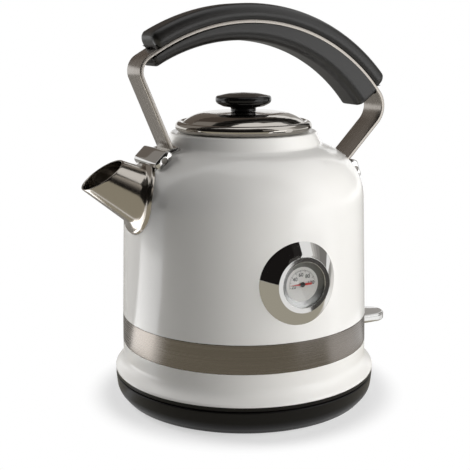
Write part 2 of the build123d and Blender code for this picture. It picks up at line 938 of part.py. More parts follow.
def bracket_blank(bar):
    """Cast foot on the shoulder: a low web round the strap's end and an oval bar across it."""
    long = bar_long / 2
    thick = bar_thick / 2
    oval = slab([(-long, -thick, bar_round), (long, -thick, bar_round),
                 (long, thick, bar_round), (-long, thick, bar_round)], bar_length)
    ends = oval.faces().sort_by(Axis.Y)
    oval = fillet(ends[0].edges() + ends[-1].edges(), bar_rim)
    web = slab([(-web_uphill, -bracket_depth), (-web_uphill, web_edge, web_edge_round),
                (stud_at, web_crest, web_round), (web_downhill, web_low),
                (web_downhill, -bracket_depth)], web_width)
    well = Rot(90, 0, 0) * Cylinder(cross_head + 0.2, 2 * cross_sink)
    bore = Rot(90, 0, 0) * Cylinder(cross_screw, 2 * (cross_sink + cross_length))
    holes = [bar_frame(bar) * Pos(0, side * bar_length / 2, 0) * (well + bore) for side in (-1, 1)]
    return cut(bar_frame(bar) * oval + web, holes + [stud_bore()])


def seated(blank, place):
    """Bracket trimmed to the vessel, with a pocket for the strap's end."""
    return place * blank - vessel_form(0) - strap_form(strap_thick + 2 * fit, strap_width + 2 * fit)


def make_front_bracket():
    grown = spout_cone(-foot_flange) & vessel_form(-foot_flange_thick)
    return seated(bracket_blank(front_bar), bracket_frames()[0]) - grown - spout_cone(0)


def make_rear_bracket():
    return seated(bracket_blank(rear_bar), bracket_frames()[1])


def make_bracket_studs():
    stud = Pos(stud_at, 0, 0) * rod(stud_radius, -stud_length, stud_length / 3)
    return group([place * stud for place in bracket_frames()])


def make_bracket_nuts():
    top = -wall - 0.6
    nut = extrude(RegularPolygon(nut_radius, 6), nut_thick) - rod(stud_radius + fit, -1, nut_thick + 1)
    return group([place * Pos(stud_at, 0, top - nut_thick) * nut for place in bracket_frames()])


def make_cross_screws():
    screw = cap_screw(cross_screw - fit, cross_head, cross_head_thick, cross_length - 0.5)
    pieces = []
    for place, bar in zip(bracket_frames(), (front_bar, rear_bar)):
        for side in (-1, 1):
            seat = Pos(0, side * (bar_length / 2 - cross_sink), 0) * Rot(side * 90, 0, 0)
            pieces.append(place * bar_frame(bar) * seat * screw)
    return group(pieces)


# Thermometer
def dial_frame():
    """Local frame on the vessel's wall: +Z straight out, +Y up."""
    middle = Pos(0, -wall_radius(dial_height), dial_height)
    return Rot(0, 0, -dial_angle) * middle * Rot(90 - wall_draft, 0, 0)


def on_wall(corners):
    return dial_frame() * spun(corners)


def lens_level():
    return case_back + case_depth


def make_thermometer_bezel():
    """Flat ring on a flank that is ruled to an oval below the wall, so the rim follows the wall's curve."""
    seat = lens_level() + lens_thick
    across = wall_radius(dial_height)
    sag = across - math.sqrt(across ** 2 - bezel_radius ** 2)
    drop = bezel_rise + sag + bezel_sink
    spread = (bezel_radius - bezel_ring) * drop
    oval = Ellipse(bezel_ring + spread / (bezel_rise + sag), bezel_ring + spread / bezel_rise)
    oval = Pos(0, 0, bezel_rise - drop) * oval
    flank = loft([oval, Pos(0, 0, bezel_rise) * Circle(bezel_ring)], ruled=True)
    ring = flank - rod(window_radius, seat, bezel_rise + 1)
    ring -= rod(case_radius + fit, bezel_rise - drop - 1, seat)
    ring = fillet(ring.edges().group_by(Axis.Z)[-1], bezel_round)
    return dial_frame() * ring - vessel_form(0)


def well_floor():
    return case_wall - well_depth


def plate_top():
    return case_back + case_wall + plate_gap + plate_thick


def make_thermometer_case():
    back = case_back + case_wall
    bore = case_radius - case_wall
    cup = on_wall([
        (0, -well_depth), (well_radius, -well_depth), (well_radius, case_back), (case_radius, case_back),
        (case_radius, lens_level()), (bore, lens_level()), (bore, back),
        (well_radius - case_wall, back), (well_radius - case_wall, well_floor()), (0, well_floor())])
    top = well_floor() + bearing_height
    bearing = tube(spindle_radius + bearing_play, bearing_radius, well_floor(), top)
    return cup + dial_frame() * bearing


def make_thermometer_seal():
    edge = well_radius + seal_width
    washer = dial_frame() * tube(well_radius + fit, edge, case_back - bezel_rise / 2, case_back)
    return washer - vessel_form(0)


def make_thermometer_nut():
    sag = ring_nut ** 2 / (2 * wall_radius(dial_height)) + 4 * fit
    nut = extrude(RegularPolygon(ring_nut, 6), ring_nut_thick)
    nut -= rod(well_radius + fit, -1, ring_nut_thick + 1)
    return dial_frame() * Pos(0, 0, -wall - sag - ring_nut_thick) * nut


def make_bimetal_coil():
    """Flat spiral of half circles whose radius grows by half a pitch each time."""
    low = well_floor() + bearing_height + seat_gap
    strip = []
    for i in range(2 * coil_turns):
        radius = coil_start + i * coil_pitch / 2
        centre = 0 if i % 2 == 0 else coil_pitch / 2
        side = 1 if i % 2 == 0 else -1
        ring = tube(radius - coil_strip / 2, radius + coil_strip / 2, low, low + coil_width)
        reach = 2 * (radius + coil_pitch)
        half = Pos(0, side * reach / 2, low) * Box(2 * reach, reach, 3 * coil_width)
        strip.append(Pos(centre, 0, 0) * (ring & half))
    coil = strip[0]
    for piece in strip[1:]:
        coil += piece
    return dial_frame() * coil


def make_dial_plate():
    under = plate_top() - plate_thick
    return dial_frame() * tube(spindle_radius + spindle_play, plate_radius, under, plate_top())


def make_dial_surround():
    """Ring that slopes from the window's edge down to the dial."""
    edge = case_radius - case_wall - fit
    return on_wall([
        (face_radius, plate_top()), (edge, plate_top()),
        (edge, lens_level()), (window_radius, lens_level())])


def make_thermometer_needle():
    low = plate_top() + needle_gap
    blade = make_face(Polyline(
        (-needle_length, 0), (0, needle_width / 2), (needle_tail, needle_width / 2),
        (needle_tail, -needle_width / 2), (0, -needle_width / 2), (-needle_length, 0)))
    pointer = Pos(0, 0, low) * extrude(blade, needle_thick)
    hub = rod(needle_hub, low, low + 2 * needle_thick)
    spindle = rod(spindle_radius, well_floor() + seat_gap, low)
    return dial_frame() * (pointer + hub + spindle)


def make_dial_lens():
    return dial_frame() * rod(case_radius, lens_level(), lens_level() + lens_thick)


# Lid
def make_lid_shell():
    hole = knob_screw + 0.2
    knee = lid_top - dome_drop
    edge = lid_seat + bead_radius + 2
    dome = spun([
        (hole, lid_top), (dome_knee, knee, dome_round), (bead_circle - 1.1, edge),
        (bead_circle - 1.8, edge - lid_thick), (dome_knee - 0.4, knee - lid_thick, dome_round - lid_thick),
        (hole, lid_top - lid_thick)])
    bead = Pos(bead_circle, 0, lid_seat + bead_radius) * Rot(90, 0, 0) * Circle(bead_radius)
    return dome + revolve(bead, Axis.Z)


def make_lid_plug():
    top = lid_seat + bead_radius + 1.2
    floor = rim - plug_depth
    plug = spun([
        (0, floor), (plug_radius, floor, 2), (plug_radius, top), (plug_radius - plug_wall, top),
        (plug_radius - plug_wall, floor + plug_wall, 1), (0, floor + plug_wall)])
    return cut(plug, around(rod(steam_hole, floor - 1, floor + 5), plug_radius * 0.55, 6))


def make_lid_seal():
    top = rim - seal_below
    return tube(plug_radius + fit, mouth_radius - seat_gap, top - seal_height, top)


def make_lid_knob():
    foot = lid_top + fit
    top = foot + knob_height
    knob = spun([
        (0, foot), (knob_stem + 0.4, foot, 0.5), (knob_stem, foot + knob_waist, 1.2),
        (knob_radius * 0.78, foot + knob_waist + 1.2, 3), (knob_radius, top - 5.4, 2.2),
        (knob_radius - 0.5, top - 2.4, 1.5), (knob_radius * 0.5, top - 0.4, 20), (0, top)])
    return knob - rod(knob_screw + fit, foot - 1, foot + knob_height * 0.65)


def make_knob_screw():
    seat = lid_top - lid_thick - fit - dome_drop * knob_screw_head / dome_knee
    return Pos(0, 0, seat) * cap_screw(knob_screw, knob_screw_head, 2, knob_screw_length * 0.75)


pieces = {
    "base_shell": make_base_shell(),
    "base_cover": make_base_cover(),
    "base_feet": make_base_feet(),
    "base_screws": make_base_screws(),
    "cord_gland": make_cord_gland(),
    "base_connector": make_base_connector(),
    "contact_pin": make_contact_pin(),
    "contact_ring_inner": make_contact_ring(slot_inner),
    "contact_ring_outer": make_contact_ring(slot_outer),
    "bottom_tray": make_bottom_tray(),
    "bottom_screws": make_bottom_screws(),
    "skirt": make_skirt(),
    "trim_band": make_trim_band(),
    "body_shell": make_body_shell(),
    "mouth_ring": make_mouth_ring(),
    "vessel_floor": make_vessel_floor(),
    "diffuser_plate": make_diffuser_plate(),
    "heating_element": make_heating_element(),
    "control_unit": make_control_unit(),
    "control_screws": make_control_screws(),
    "socket_contacts": make_socket_contacts(),
    "overheat_discs": make_overheat_discs(),
    "steam_tube": make_steam_tube(),
    "tube_grommet": make_tube_grommet(),
    "switch_housing": make_switch_housing(),
    "lever_pin": make_lever_pin(),
    "switch_lever": make_switch_lever(),
    "contact_plunger": make_contact_plunger(),
    "steam_disc": make_steam_disc(),
    "spout": make_spout(),
    "spout_filter": make_spout_filter(),
    "handle_strap": make_handle_strap(),
    "grip_upper": make_grip_upper(),
    "grip_lower": make_grip_lower(),
    "grip_screws": make_grip_screws(),
    "front_bracket": make_front_bracket(),
    "rear_bracket": make_rear_bracket(),
    "bracket_studs": make_bracket_studs(),
    "bracket_nuts": make_bracket_nuts(),
    "cross_screws": make_cross_screws(),
    "thermometer_bezel": make_thermometer_bezel(),
    "thermometer_case": make_thermometer_case(),
    "thermometer_seal": make_thermometer_seal(),
    "thermometer_nut": make_thermometer_nut(),
    "bimetal_coil": make_bimetal_coil(),
    "dial_plate": make_dial_plate(),
    "dial_surround": make_dial_surround(),
    "thermometer_needle": make_thermometer_needle(),
    "dial_lens": make_dial_lens(),
    "lid_shell": make_lid_shell(),
    "lid_plug": make_lid_plug(),
    "lid_seal": make_lid_seal(),
    "lid_knob": make_lid_knob(),
    "knob_screw": make_knob_screw(),
}

os.makedirs("parts", exist_ok=True)
for name, piece in pieces.items():
    export_step(piece, f"parts/{name}.step")
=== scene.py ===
"""Looks of an electric kettle on its power base: surfaces, finishes, light and camera."""
import json

import bmesh
import bpy
import numpy as np
from mathutils import Matrix


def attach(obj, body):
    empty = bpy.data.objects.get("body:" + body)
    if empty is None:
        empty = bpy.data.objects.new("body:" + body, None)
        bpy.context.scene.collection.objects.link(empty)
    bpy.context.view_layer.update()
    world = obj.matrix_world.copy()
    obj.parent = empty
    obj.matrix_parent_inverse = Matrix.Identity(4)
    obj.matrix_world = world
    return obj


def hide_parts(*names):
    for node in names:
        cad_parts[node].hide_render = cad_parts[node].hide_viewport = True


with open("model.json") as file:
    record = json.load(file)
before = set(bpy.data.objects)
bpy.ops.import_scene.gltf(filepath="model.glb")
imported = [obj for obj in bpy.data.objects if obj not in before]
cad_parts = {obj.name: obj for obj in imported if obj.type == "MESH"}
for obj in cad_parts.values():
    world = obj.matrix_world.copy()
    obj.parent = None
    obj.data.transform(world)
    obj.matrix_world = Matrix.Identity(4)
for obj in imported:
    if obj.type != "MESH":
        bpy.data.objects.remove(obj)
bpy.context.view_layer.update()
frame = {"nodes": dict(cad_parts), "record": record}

# Sizes of the kettle in millimetres and angles in degrees; MM turns them to metres when a mesh is made
MM = 0.001
FIT = 0.05   # air between pieces that touch
EDGE = 0.3   # softened edge of sheet and mouldings

# Skirt, band and vessel
SKIRT_FOOT, BAND_FOOT, SHELL_FOOT, BAND_TOP = 19.2, 37.7, 45.0, 55.8
BAND_RADIUS, BODY_RADIUS, RECESS = 80.0, 79.64, 78.84
FLARE, FLARE_ROUND, LIP_ROUND, SKIRT_WALL = 5.3, 9.6, 2.2, 2.2
WALL_DRAFT, VESSEL_WALL, SHELL_EDGE = 1.86, 1.0, 0.25
SHOULDER_SLOPE, SHOULDER_ROUND = 22.0, 35.0
NECK_FOOT, NECK_RADIUS, NECK_LEAN, NECK_ROUND = 165.1, 46.4, 23.2, 3.0
RIM, RIM_ROUND, MOUTH, COLLAR_DEPTH = 173.0, 1.4, 38.5, 8.5
SLOT_LOW, SLOT_HIGH = (68.5, -11.6, 28.95), (91.5, 11.6, 40.1)
VENT_FOOT, VENT_TOP, VENT_TURN = 31.7, 35.7, 28.0
VENT_DEPTH, VENT_WIDTH = 8.8, 7.0

# Spout; the reach is the stretch of its cone, from the cone's point, in which it meets the vessel
SPOUT_TIP = np.array([-108.8, 143.5])
SPOUT_MOUTH, SPOUT_TILT = 29.9, 32.8
SPOUT_LEAN, SPOUT_FLARE = 29.6, 9.4
SPOUT_WALL, SPOUT_FILLET = 0.9, 3.2
FLANGE_WIDTH, FLANGE_THICK, FLANGE_ROUND, FLANGE_INSIDE = 4.0, 1.8, 0.9, 1.5
SPOUT_REACH = 40.0, 150.0
SPOUT_FILL_FROM, SPOUT_AIR = 60.0, 0.3

# Lid; its dome ends inside the bead's circle and above the bead's middle
LID_SEAT, LID_TOP, LID_WALL, LID_HOLE = 173.3, 185.4, 0.8, 2.2
LID_KNEE, LID_BEND, LID_FALL = 31.0, 25.0, 0.8
BEAD_CIRCLE, BEAD = 40.5, 3.1
LID_END_IN, LID_END_UP, LID_END_WIDTH = 1.1, 2.0, 0.7

# Knob; its corners, from stem to crown, are radius, height above its foot and the arc's radius
KNOB_FOOT, KNOB_HEIGHT = 185.45, 11.65
KNOB_CORNERS = [(8.2, 0.0, 0.5), (7.8, 2.3, 1.2), (13.32, 3.2, 2.5), (18.0, 5.45, 3.2), (17.6, 9.45, 1.6),
                (9.0, 11.25, 20.0)]

# Handle; its route's corners are x, z and the bend's radius in the side view
STRAP_WIDTH, STRAP_THICK, STRAP_EDGE = 20.8, 2.5, 0.5
ARCH_ROUND = 124.0
STRAP_ROUTE = [(-54.0, 164.15, 0), (-75.8, 216.1, 10), (28.5, 275.1, ARCH_ROUND), (106.8, 184.2, 15),
               (72.7, 149.46, 0)]
GRIP_FRONT, GRIP_REAR, PALM_REAR = -30.5, 50.0, 53.2
GRIP_WIDTH, GRIP_RISE, GRIP_SEAM = 24.0, 9.8, 10.7
GRIP_BELLY, PALM_BELLY = 7.5, 8.0
CROWN_IN, CROWN_ROUND = 2.0, 5.5
GRIP_END, PALM_END = 4.0, 2.5
PALM_ROUND, PALM_SHIFT = 111.1, np.array([-7.8, 1.4])

# Brackets; a bar's place is downhill, out and its tilt, and a well's cutter goes a little past the bar's end
FRONT_PLACE, REAR_PLACE = 59.4, 22.0
FRONT_BAR, REAR_BAR = (2.8, 0.7, 13.0), (-1.0, 1.2, 0.0)
BAR_LONG, BAR_THICK, BAR_LENGTH, BAR_RIM, BAR_ROUND = 13.0, 6.6, 35.0, 1.0, 3.0
WELL_RADIUS, WELL_DEPTH, WELL_PAST = 2.2, 1.5, 1.0
WEB_WIDTH, WEB_EDGE = 22.8, 0.4
WEB_CORNERS = [(-11.5, -7.0), (-11.5, 0.5, 0.4), (-1.0, 3.6, 4.0), (4.0, 3.0), (4.0, -7.0)]

# Thermometer; levels are counted out from the vessel's wall, the bezel's break is the first step from its
# ring down its flank, and a tick is the radii it goes between and its width
DIAL_HEIGHT, DIAL_TURN = 91.1, 3.3
BEZEL_RADIUS, BEZEL_RISE, BEZEL_RING, WINDOW = 24.9, 5.0, 16.7, 13.6
BEZEL_BREAK = np.array([0.5, -0.42])
CASE_RADIUS, CASE_WALL, LENS_LEVEL, LENS_THICK = 15.0, 1.0, 3.2, 1.0
DIAL_LEVEL, DIAL_RADIUS, DIAL_THICK, DIAL_HOLE, FACE_RADIUS = 1.8, 13.8, 0.4, 1.1, 10.4
DIAL_START, DIAL_END = 192.0, 4.0
NUMBERS, TICKS_TO_NUMBER, TICKS_TO_LONG = (20, 40, 60, 80, 100), 10, 5
FINE_TICK, LONG_TICK = (7.9, 8.7, 0.16), (7.3, 8.7, 0.24)
INK_SUNK, INK_RISE = 0.02, 0.03
NUMBER_SIZE, NUMBER_RADIUS, NUMBER_DEPTH, NUMBER_WEIGHT = 3.1, 5.7, 0.025, 0.05
NEEDLE_LENGTH, NEEDLE_TAIL, NEEDLE_LEVEL, NEEDLE_THICK = 8.2, 6.0, 2.2, 0.4
NEEDLE_HALF, TAIL_HALF, TAIL_ROUND = 0.6, 0.55, 0.2
SPINDLE_RADIUS, SPINDLE_FOOT = 0.8, -6.9
CAP_RADIUS, CAP_SIDE, CAP_TOP = 1.5, 0.35, 0.45

# Switch lever; the two arcs of its tip leave a hair's breadth of flat between them
PIVOT = np.array([67.0, 0.0, 36.0])
LEVER_REACH, LEVER_WIDTH, LEVER_THICK, LEVER_EDGE = 112.0, 20.8, 5.8, 1.3
TIP_ROUND = 10.39
HUB_RADIUS, HUB_EDGE = 4.6, 0.4
ARM_LENGTH, ARM_THICK, ARM_WIDTH, ARM_EDGE, ARM_SHIFT = 9.0, 3.0, 8.0, 0.2, -6.0


# Shapes
def direction(angle):
    """Unit vector at an angle above the horizontal."""
    return np.array([np.cos(np.radians(angle)), np.sin(np.radians(angle))])


def meeting(p, n, q, m, inside=0.0):
    """Point where two lines, given by a point and an outward normal and moved in by an amount, cross."""
    return np.linalg.solve(np.array([n, m]), np.array([np.dot(n, p) - inside, np.dot(m, q) - inside]))


def rounded(corners, closed=True, turn_step=5.0):
    """Outline of straight lines with arcs at its corners: each corner is x, y and the arc's radius."""
    points = np.array([c[:2] for c in corners], float)
    radii = [c[2] if len(c) > 2 else 0 for c in corners]
    out = []
    for k, (corner, radius) in enumerate(zip(points, radii)):
        end = not closed and k in (0, len(points) - 1)
        if radius == 0 or end:
            out.append(corner[None])
            continue
        back = points[k - 1] - corner
        ahead = points[(k + 1) % len(points)] - corner
        back, ahead = back / np.linalg.norm(back), ahead / np.linalg.norm(ahead)
        half = np.arccos(np.clip(np.dot(back, ahead), -1, 1)) / 2
        middle = (back + ahead) / np.linalg.norm(back + ahead)
        centre = corner + middle * radius / np.sin(half)
        sweep = np.pi - 2 * half
        steps = max(3, int(np.degrees(sweep) / turn_step) + 2)
        side = np.linspace(-sweep / 2, sweep / 2, steps)
        cross = np.array([-middle[1], middle[0]])
        if np.dot(cross, back) > 0:
            side = -side
        out.append(centre - radius * (np.cos(side)[:, None] * middle - np.sin(side)[:, None] * cross))
    return np.concatenate(out)


def rectangle(low, high, radius=0.0, turn_step=5.0):
    """Rectangle between two corners, counter-clockwise from its lower left, its corners arcs of a radius."""
    (left, near), (right, far) = low[:2], high[:2]
    corners = (left, near), (right, near), (right, far), (left, far)
    return rounded([(*corner, radius) for corner in corners], turn_step=turn_step)


def spaced(points, step=2.0, closed=True):
    """The same outline with its long straight runs cut into pieces of about one step."""
    ends = np.concatenate([points[1:], points[:1]]) if closed else points[1:]
    starts = points if closed else points[:-1]
    counts = np.maximum(1, np.ceil(np.linalg.norm(ends - starts, axis=1) / step)).astype(int)
    share = np.concatenate([np.arange(n) / n for n in counts])[:, None]
    runs = np.repeat(starts, counts, axis=0) * (1 - share) + np.repeat(ends, counts, axis=0) * share
    return runs if closed else np.concatenate([runs, points[-1:]])


def inset(outline, depths):
    """Rows of a closed outline moved inwards by each depth."""
    ahead = np.roll(outline, -1, 0) - np.roll(outline, 1, 0)
    ahead /= np.linalg.norm(ahead, axis=1)[:, None] + 1e-9
    area = np.sum(outline[:, 0] * np.roll(outline[:, 1], -1) - np.roll(outline[:, 0], -1) * outline[:, 1])
    inward = np.stack([-ahead[:, 1], ahead[:, 0]], -1) * np.sign(area)
    return outline + inward * np.asarray(depths)[:, None, None]


def spun(points, angle):
    """Flat points turned about the origin by an angle."""
    c, s = direction(angle)
    return points @ np.array([(c, s), (-s, c)])


def turned(outline, turns=256):
    """Surface of revolution about Z: the point (r, z) goes to (r cos a, r sin a, z)."""
    a = np.linspace(0, 2 * np.pi, turns, endpoint=False)
    r, z = outline[:, 0, None], outline[:, 1, None]
    return np.stack([r * np.cos(a), r * np.sin(a), z + 0 * a], -1)


def rod(radius, low, high, edge=0.0, turns=48):
    """Round bar about Z between two heights, its edges rounded."""
    outline = rounded([(0, low), (radius, low, edge), (radius, high, edge), (0, high)], closed=False)
    return turned(outline, turns)


def laid(points):
    """Points with their Y and Z exchanged, so that an upright form lies along Y."""
    return points[..., [0, 2, 1]]


def capped(rows):
    """Tube of closed rings with both ends shut by a point at the ring's middle."""
    first = np.broadcast_to(rows[0].mean(0), rows[:1].shape)
    last = np.broadcast_to(rows[-1].mean(0), rows[-1:].shape)
    return np.concatenate([first, rows, last])


def prism(outline, low, high):
    """Flat outline (x, y) carried straight up from one height to another."""
    return capped(np.stack([np.column_stack([outline, np.full(len(outline), z)]) for z in (low, high)]))


def block(outline, width, edge):
    """Flat outline (x, z) given a width across Y, its two outer edges rounded by a quarter circle."""
    q = np.linspace(0, np.pi / 2, 5)
    depth = edge * (1 - np.sin(q))
    place = width / 2 - edge * (1 - np.cos(q))
    xz = inset(outline, np.concatenate([depth, depth[::-1]]))
    y = np.broadcast_to(np.concatenate([-place, place[::-1]])[:, None], xz.shape[:2])
    return capped(np.stack([xz[..., 0], y, xz[..., 1]], -1))


def placed(points, origin, axes):
    """Points given along three axes from an origin."""
    return origin + points @ axes


# Meshes and objects
def in_scene(name, data):
    """New object at the origin for a mesh, a text, a lamp or a camera."""
    obj = bpy.data.objects.new(name, data)
    bpy.context.scene.collection.objects.link(obj)
    return obj


def mesh_of(name, grids, wrap_rows=False, sharp=35.0):
    """Mesh of quads over grids of points in millimetres whose columns close on themselves."""
    points, faces, start = [], [], 0
    for grid in grids:
        rows, columns = grid.shape[:2]
        i = np.arange(rows if wrap_rows else rows - 1)[:, None]
        j = np.arange(columns)[None]
        here, below, right = i * columns, (i + 1) % rows * columns, (j + 1) % columns
        quads = np.stack([here + j, here + right, below + right, below + j], -1)
        points.append(grid.reshape(-1, 3) * MM)
        faces.append(quads.reshape(-1, 4) + start)
        start += rows * columns
    mesh = bpy.data.meshes.new(name)
    mesh.from_pydata(np.concatenate(points).tolist(), [], np.concatenate(faces).tolist())
    return tidy(mesh, sharp)


def tidy(mesh, sharp=35.0):
    """Poles merged, faces turned outwards, smooth shading with creases above an angle."""
    work = bmesh.new()
    work.from_mesh(mesh)
    bmesh.ops.remove_doubles(work, verts=work.verts, dist=1e-7)
    bmesh.ops.dissolve_degenerate(work, edges=work.edges, dist=1e-8)
    bmesh.ops.recalc_face_normals(work, faces=work.faces)
    work.to_mesh(mesh)
    work.free()
    mesh.shade_smooth()
    mesh.set_sharp_from_angle(angle=np.radians(sharp))
    return mesh


def carved(mesh, cutters, operation="DIFFERENCE"):
    """The mesh less each cutter, or joined with it, or what they share."""
    target = in_scene("carving", mesh)
    tools = [in_scene("cutter", cutter) for cutter in cutters]
    for tool in tools:
        cut = target.modifiers.new("cut", "BOOLEAN")
        cut.operation, cut.solver, cut.object = operation, "MANIFOLD", tool
    bpy.context.view_layer.update()
    result = bpy.data.meshes.new_from_object(target.evaluated_get(bpy.context.evaluated_depsgraph_get()))
    result.name = mesh.name + "_cut"
    for obj in [target, *tools]:
        bpy.data.objects.remove(obj)
    return tidy(result)


def piece(mesh, body, slot, material, *nodes):
    """Puts a mesh into the scene on its body, with its finish, in place of CAD nodes."""
    obj = in_scene(mesh.name, mesh)
    mesh.materials.clear()
    mesh.materials.append(material)
    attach(obj, body)
    if nodes:
        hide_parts(*nodes)


# Finishes; a noise mostly stays within its span, and its tints are pure outside the stops
NOISE_SPAN, TINT_STOPS = (0.25, 0.75), (0.3, 0.7)


def linear(code):
    """Colour of an sRGB hex value, in linear light."""
    parts = np.array([int(code[i:i + 2], 16) for i in (1, 3, 5)]) / 255
    light = np.where(parts <= 0.04045, parts / 12.92, ((parts + 0.055) / 1.055) ** 2.4)
    return (*light.tolist(), 1.0)


def add(tree, kind, inputs=None, **settings):
    """Adds a shader node with its settings; an input is a value or another node's output."""
    node = tree.nodes.new("ShaderNode" + kind)
    for name, value in settings.items():
        setattr(node, name, value)
    for name, value in (inputs or {}).items():
        if isinstance(value, bpy.types.NodeSocket):
            tree.links.new(value, node.inputs[name])
        else:
            node.inputs[name].default_value = value
    return node


def plain_finish(name, colour, roughness, metallic=0.0, **sockets):
    """New material with a principled shader, whose other sockets are given by name; returns both."""
    material = bpy.data.materials.new(name)
    material.use_nodes = True
    shader = material.node_tree.nodes["Principled BSDF"]
    values = {"Base Color": linear(colour), "Roughness": roughness, "Metallic": metallic}
    values.update({socket.replace("_", " "): value for socket, value in sockets.items()})
    for socket, value in values.items():
        shader.inputs[socket].default_value = value
    return material, shader


def finish(name, colour, rough, grain, bump, detail=3, stretch=(1, 1, 1), tints=None, **sockets):
    """Material with a noise of a real grain size in millimetres, read from Object coordinates.

    The noise gives a small bump, a tenth of the grain high at most, a roughness that goes between two values
    and, with tints, a colour that drifts between two shades. Stretch multiplies its frequency along X, Y and
    Z, so a small value draws it out into lines.
    """
    material, shader = plain_finish(name, colour, sum(rough) / 2, **sockets)
    tree = material.node_tree
    place = add(tree, "TexCoord").outputs["Object"]
    mapped = add(tree, "Mapping", {"Vector": place, "Scale": stretch}).outputs["Vector"]
    noise = add(tree, "TexNoise", {"Vector": mapped, "Scale": 1 / (grain * MM), "Detail": detail})
    height = noise.outputs["Fac"]
    relief = add(tree, "Bump", {"Height": height, "Strength": bump, "Distance": grain * MM / 10})
    tree.links.new(relief.outputs["Normal"], shader.inputs["Normal"])
    (low, high), (smooth, dull) = NOISE_SPAN, rough
    spread = add(tree, "MapRange", {
        "Value": height, "From Min": low, "From Max": high, "To Min": smooth, "To Max": dull})
    tree.links.new(spread.outputs["Result"], shader.inputs["Roughness"])
    if tints:
        ramp = add(tree, "ValToRGB", {"Fac": height})
        for stop, position, tint in zip(ramp.color_ramp.elements, TINT_STOPS, tints):
            stop.position, stop.color = position, linear(tint)
        tree.links.new(ramp.outputs["Color"], shader.inputs["Base Color"])
    return material


# White enamel sprayed on steel: deep gloss under a clear skin, with a faint orange peel of about 2 mm
enamel = finish("sprayed_white_enamel", "#EDEBE7", rough=(0.14, 0.2), grain=2.2, detail=2, bump=0.03,
                Coat_Weight=0.35, Coat_Roughness=0.04)

# White ABS moulding: a little softer in gloss than the enamel
abs_white = finish("moulded_white_abs", "#ECEAE6", rough=(0.2, 0.27), grain=1.2, bump=0.03,
                   Coat_Weight=0.2, Coat_Roughness=0.08)

# Stainless band brushed round its circumference: fine level lines, drawn wider than real so that they show
band_steel = finish("stainless_brushed_round", "#87817B", rough=(0.2, 0.32), grain=3.0, bump=0.05,
                    stretch=(0.03, 0.03, 6), tints=("#807A74", "#8E8882"), metallic=1.0)

# Stainless strap brushed along its length: lines that vary only across it, drawn wider so that they show
strap_steel = finish("stainless_brushed_long", "#AEA8A1", rough=(0.22, 0.3), grain=3.0, bump=0.02,
                     stretch=(0.03, 6, 0.03), tints=("#A6A099", "#B6B0A9"), metallic=1.0)

# Stainless steel buffed to a mirror: sharp reflections with a trace of buffing haze
mirror_steel = finish("stainless_mirror_polished", "#C4BFB8", rough=(0.05, 0.1), grain=9.0, detail=2,
                      bump=0.006, metallic=1.0)

# Rolled stainless sheet polished along the spout: soft reflections, drawn out lengthwise
spout_steel = finish("stainless_polished_sheet", "#BEB8B0", rough=(0.13, 0.2), grain=2.5, bump=0.03,
                     stretch=(0.3, 4, 0.3), metallic=1.0)

# Plain drawn stainless steel: a satin skin, uneven in tone
plain_steel = finish("stainless_satin", "#A19D98", rough=(0.3, 0.42), grain=1.5, bump=0.06,
                     tints=("#938F8A", "#ABA7A2"), metallic=1.0)

# Bright chromium plating on a polished casting: the clearest mirror of all
chrome = finish("chrome_plating", "#D9D8D6", rough=(0.03, 0.07), grain=8.0, detail=2, bump=0.005,
                metallic=1.0)

# Black polypropylene moulded in a spark-eroded tool: a fine grain and little shine
base_black = finish("moulded_black_polypropylene", "#100F0F", rough=(0.34, 0.46), grain=0.6, bump=0.08,
                    Specular_IOR_Level=0.28)

# Black grip plastic moulded in a spark-eroded tool: a fine grain under a clear satin sheen
grip_black = finish("moulded_black_grip", "#141312", rough=(0.3, 0.4), grain=0.5, bump=0.08,
                    Specular_IOR_Level=0.75)

# Black phenolic moulded in a polished tool: nearly as glossy as lacquer
knob_black = finish("moulded_black_phenolic", "#121111", rough=(0.08, 0.14), grain=2.5, bump=0.01)

# Black moulded rubber: dull and slightly dusty
rubber = finish("moulded_rubber", "#262524", rough=(0.65, 0.85), grain=0.8, detail=4, bump=0.2,
                tints=("#201F1E", "#2F2E2C"))

# Drawn brass: warm metal with a slight tarnish
brass = finish("drawn_brass", "#C9A255", rough=(0.22, 0.4), grain=4.0, detail=4, bump=0.05,
               tints=("#B08A45", "#D2AC60"), metallic=1.0)

# Pressed aluminium plate: pale and finely matt
aluminium = finish("pressed_aluminium", "#C9C9C8", rough=(0.36, 0.5), grain=0.8, bump=0.1, metallic=1.0)

# White-lacquered dial sheet: matt
dial_paint = finish("lacquered_dial", "#DAD9D6", rough=(0.45, 0.55), grain=0.5, detail=2, bump=0.04)

# Black screen-printing ink: matt and a little uneven
ink = finish("screen_print_black", "#1B1B1C", rough=(0.45, 0.6), grain=0.3, detail=2, bump=0.05)

# Red lacquer on the needle: half gloss
red = finish("red_lacquer", "#C22A20", rough=(0.3, 0.4), grain=0.4, detail=2, bump=0.03)

# Grey paint with metal flakes on the ring round the dial: satin
ring_grey = finish("satin_grey_paint", "#7E7F7E", rough=(0.26, 0.36), grain=0.5, detail=2, bump=0.04,
                   metallic=0.5)

# Clear flat glass over the dial: seen only by what it mirrors
glass = plain_finish("mineral_glass", "#FFFFFF", 0.0, Transmission_Weight=1.0, IOR=1.45)[0]


# Vessel, skirt and band, turned about the kettle's axis; the vessel's side is wall, shoulder and neck
wall_foot = np.array([BODY_RADIUS, BAND_TOP])
neck_base = np.array([NECK_RADIUS + (RIM - NECK_FOOT) * np.tan(np.radians(NECK_LEAN)), NECK_FOOT])
wall_out, shoulder_out, neck_out = direction(WALL_DRAFT), direction(90 - SHOULDER_SLOPE), direction(NECK_LEAN)
shoulder_centre = meeting(wall_foot, wall_out, neck_base, shoulder_out, SHOULDER_ROUND)


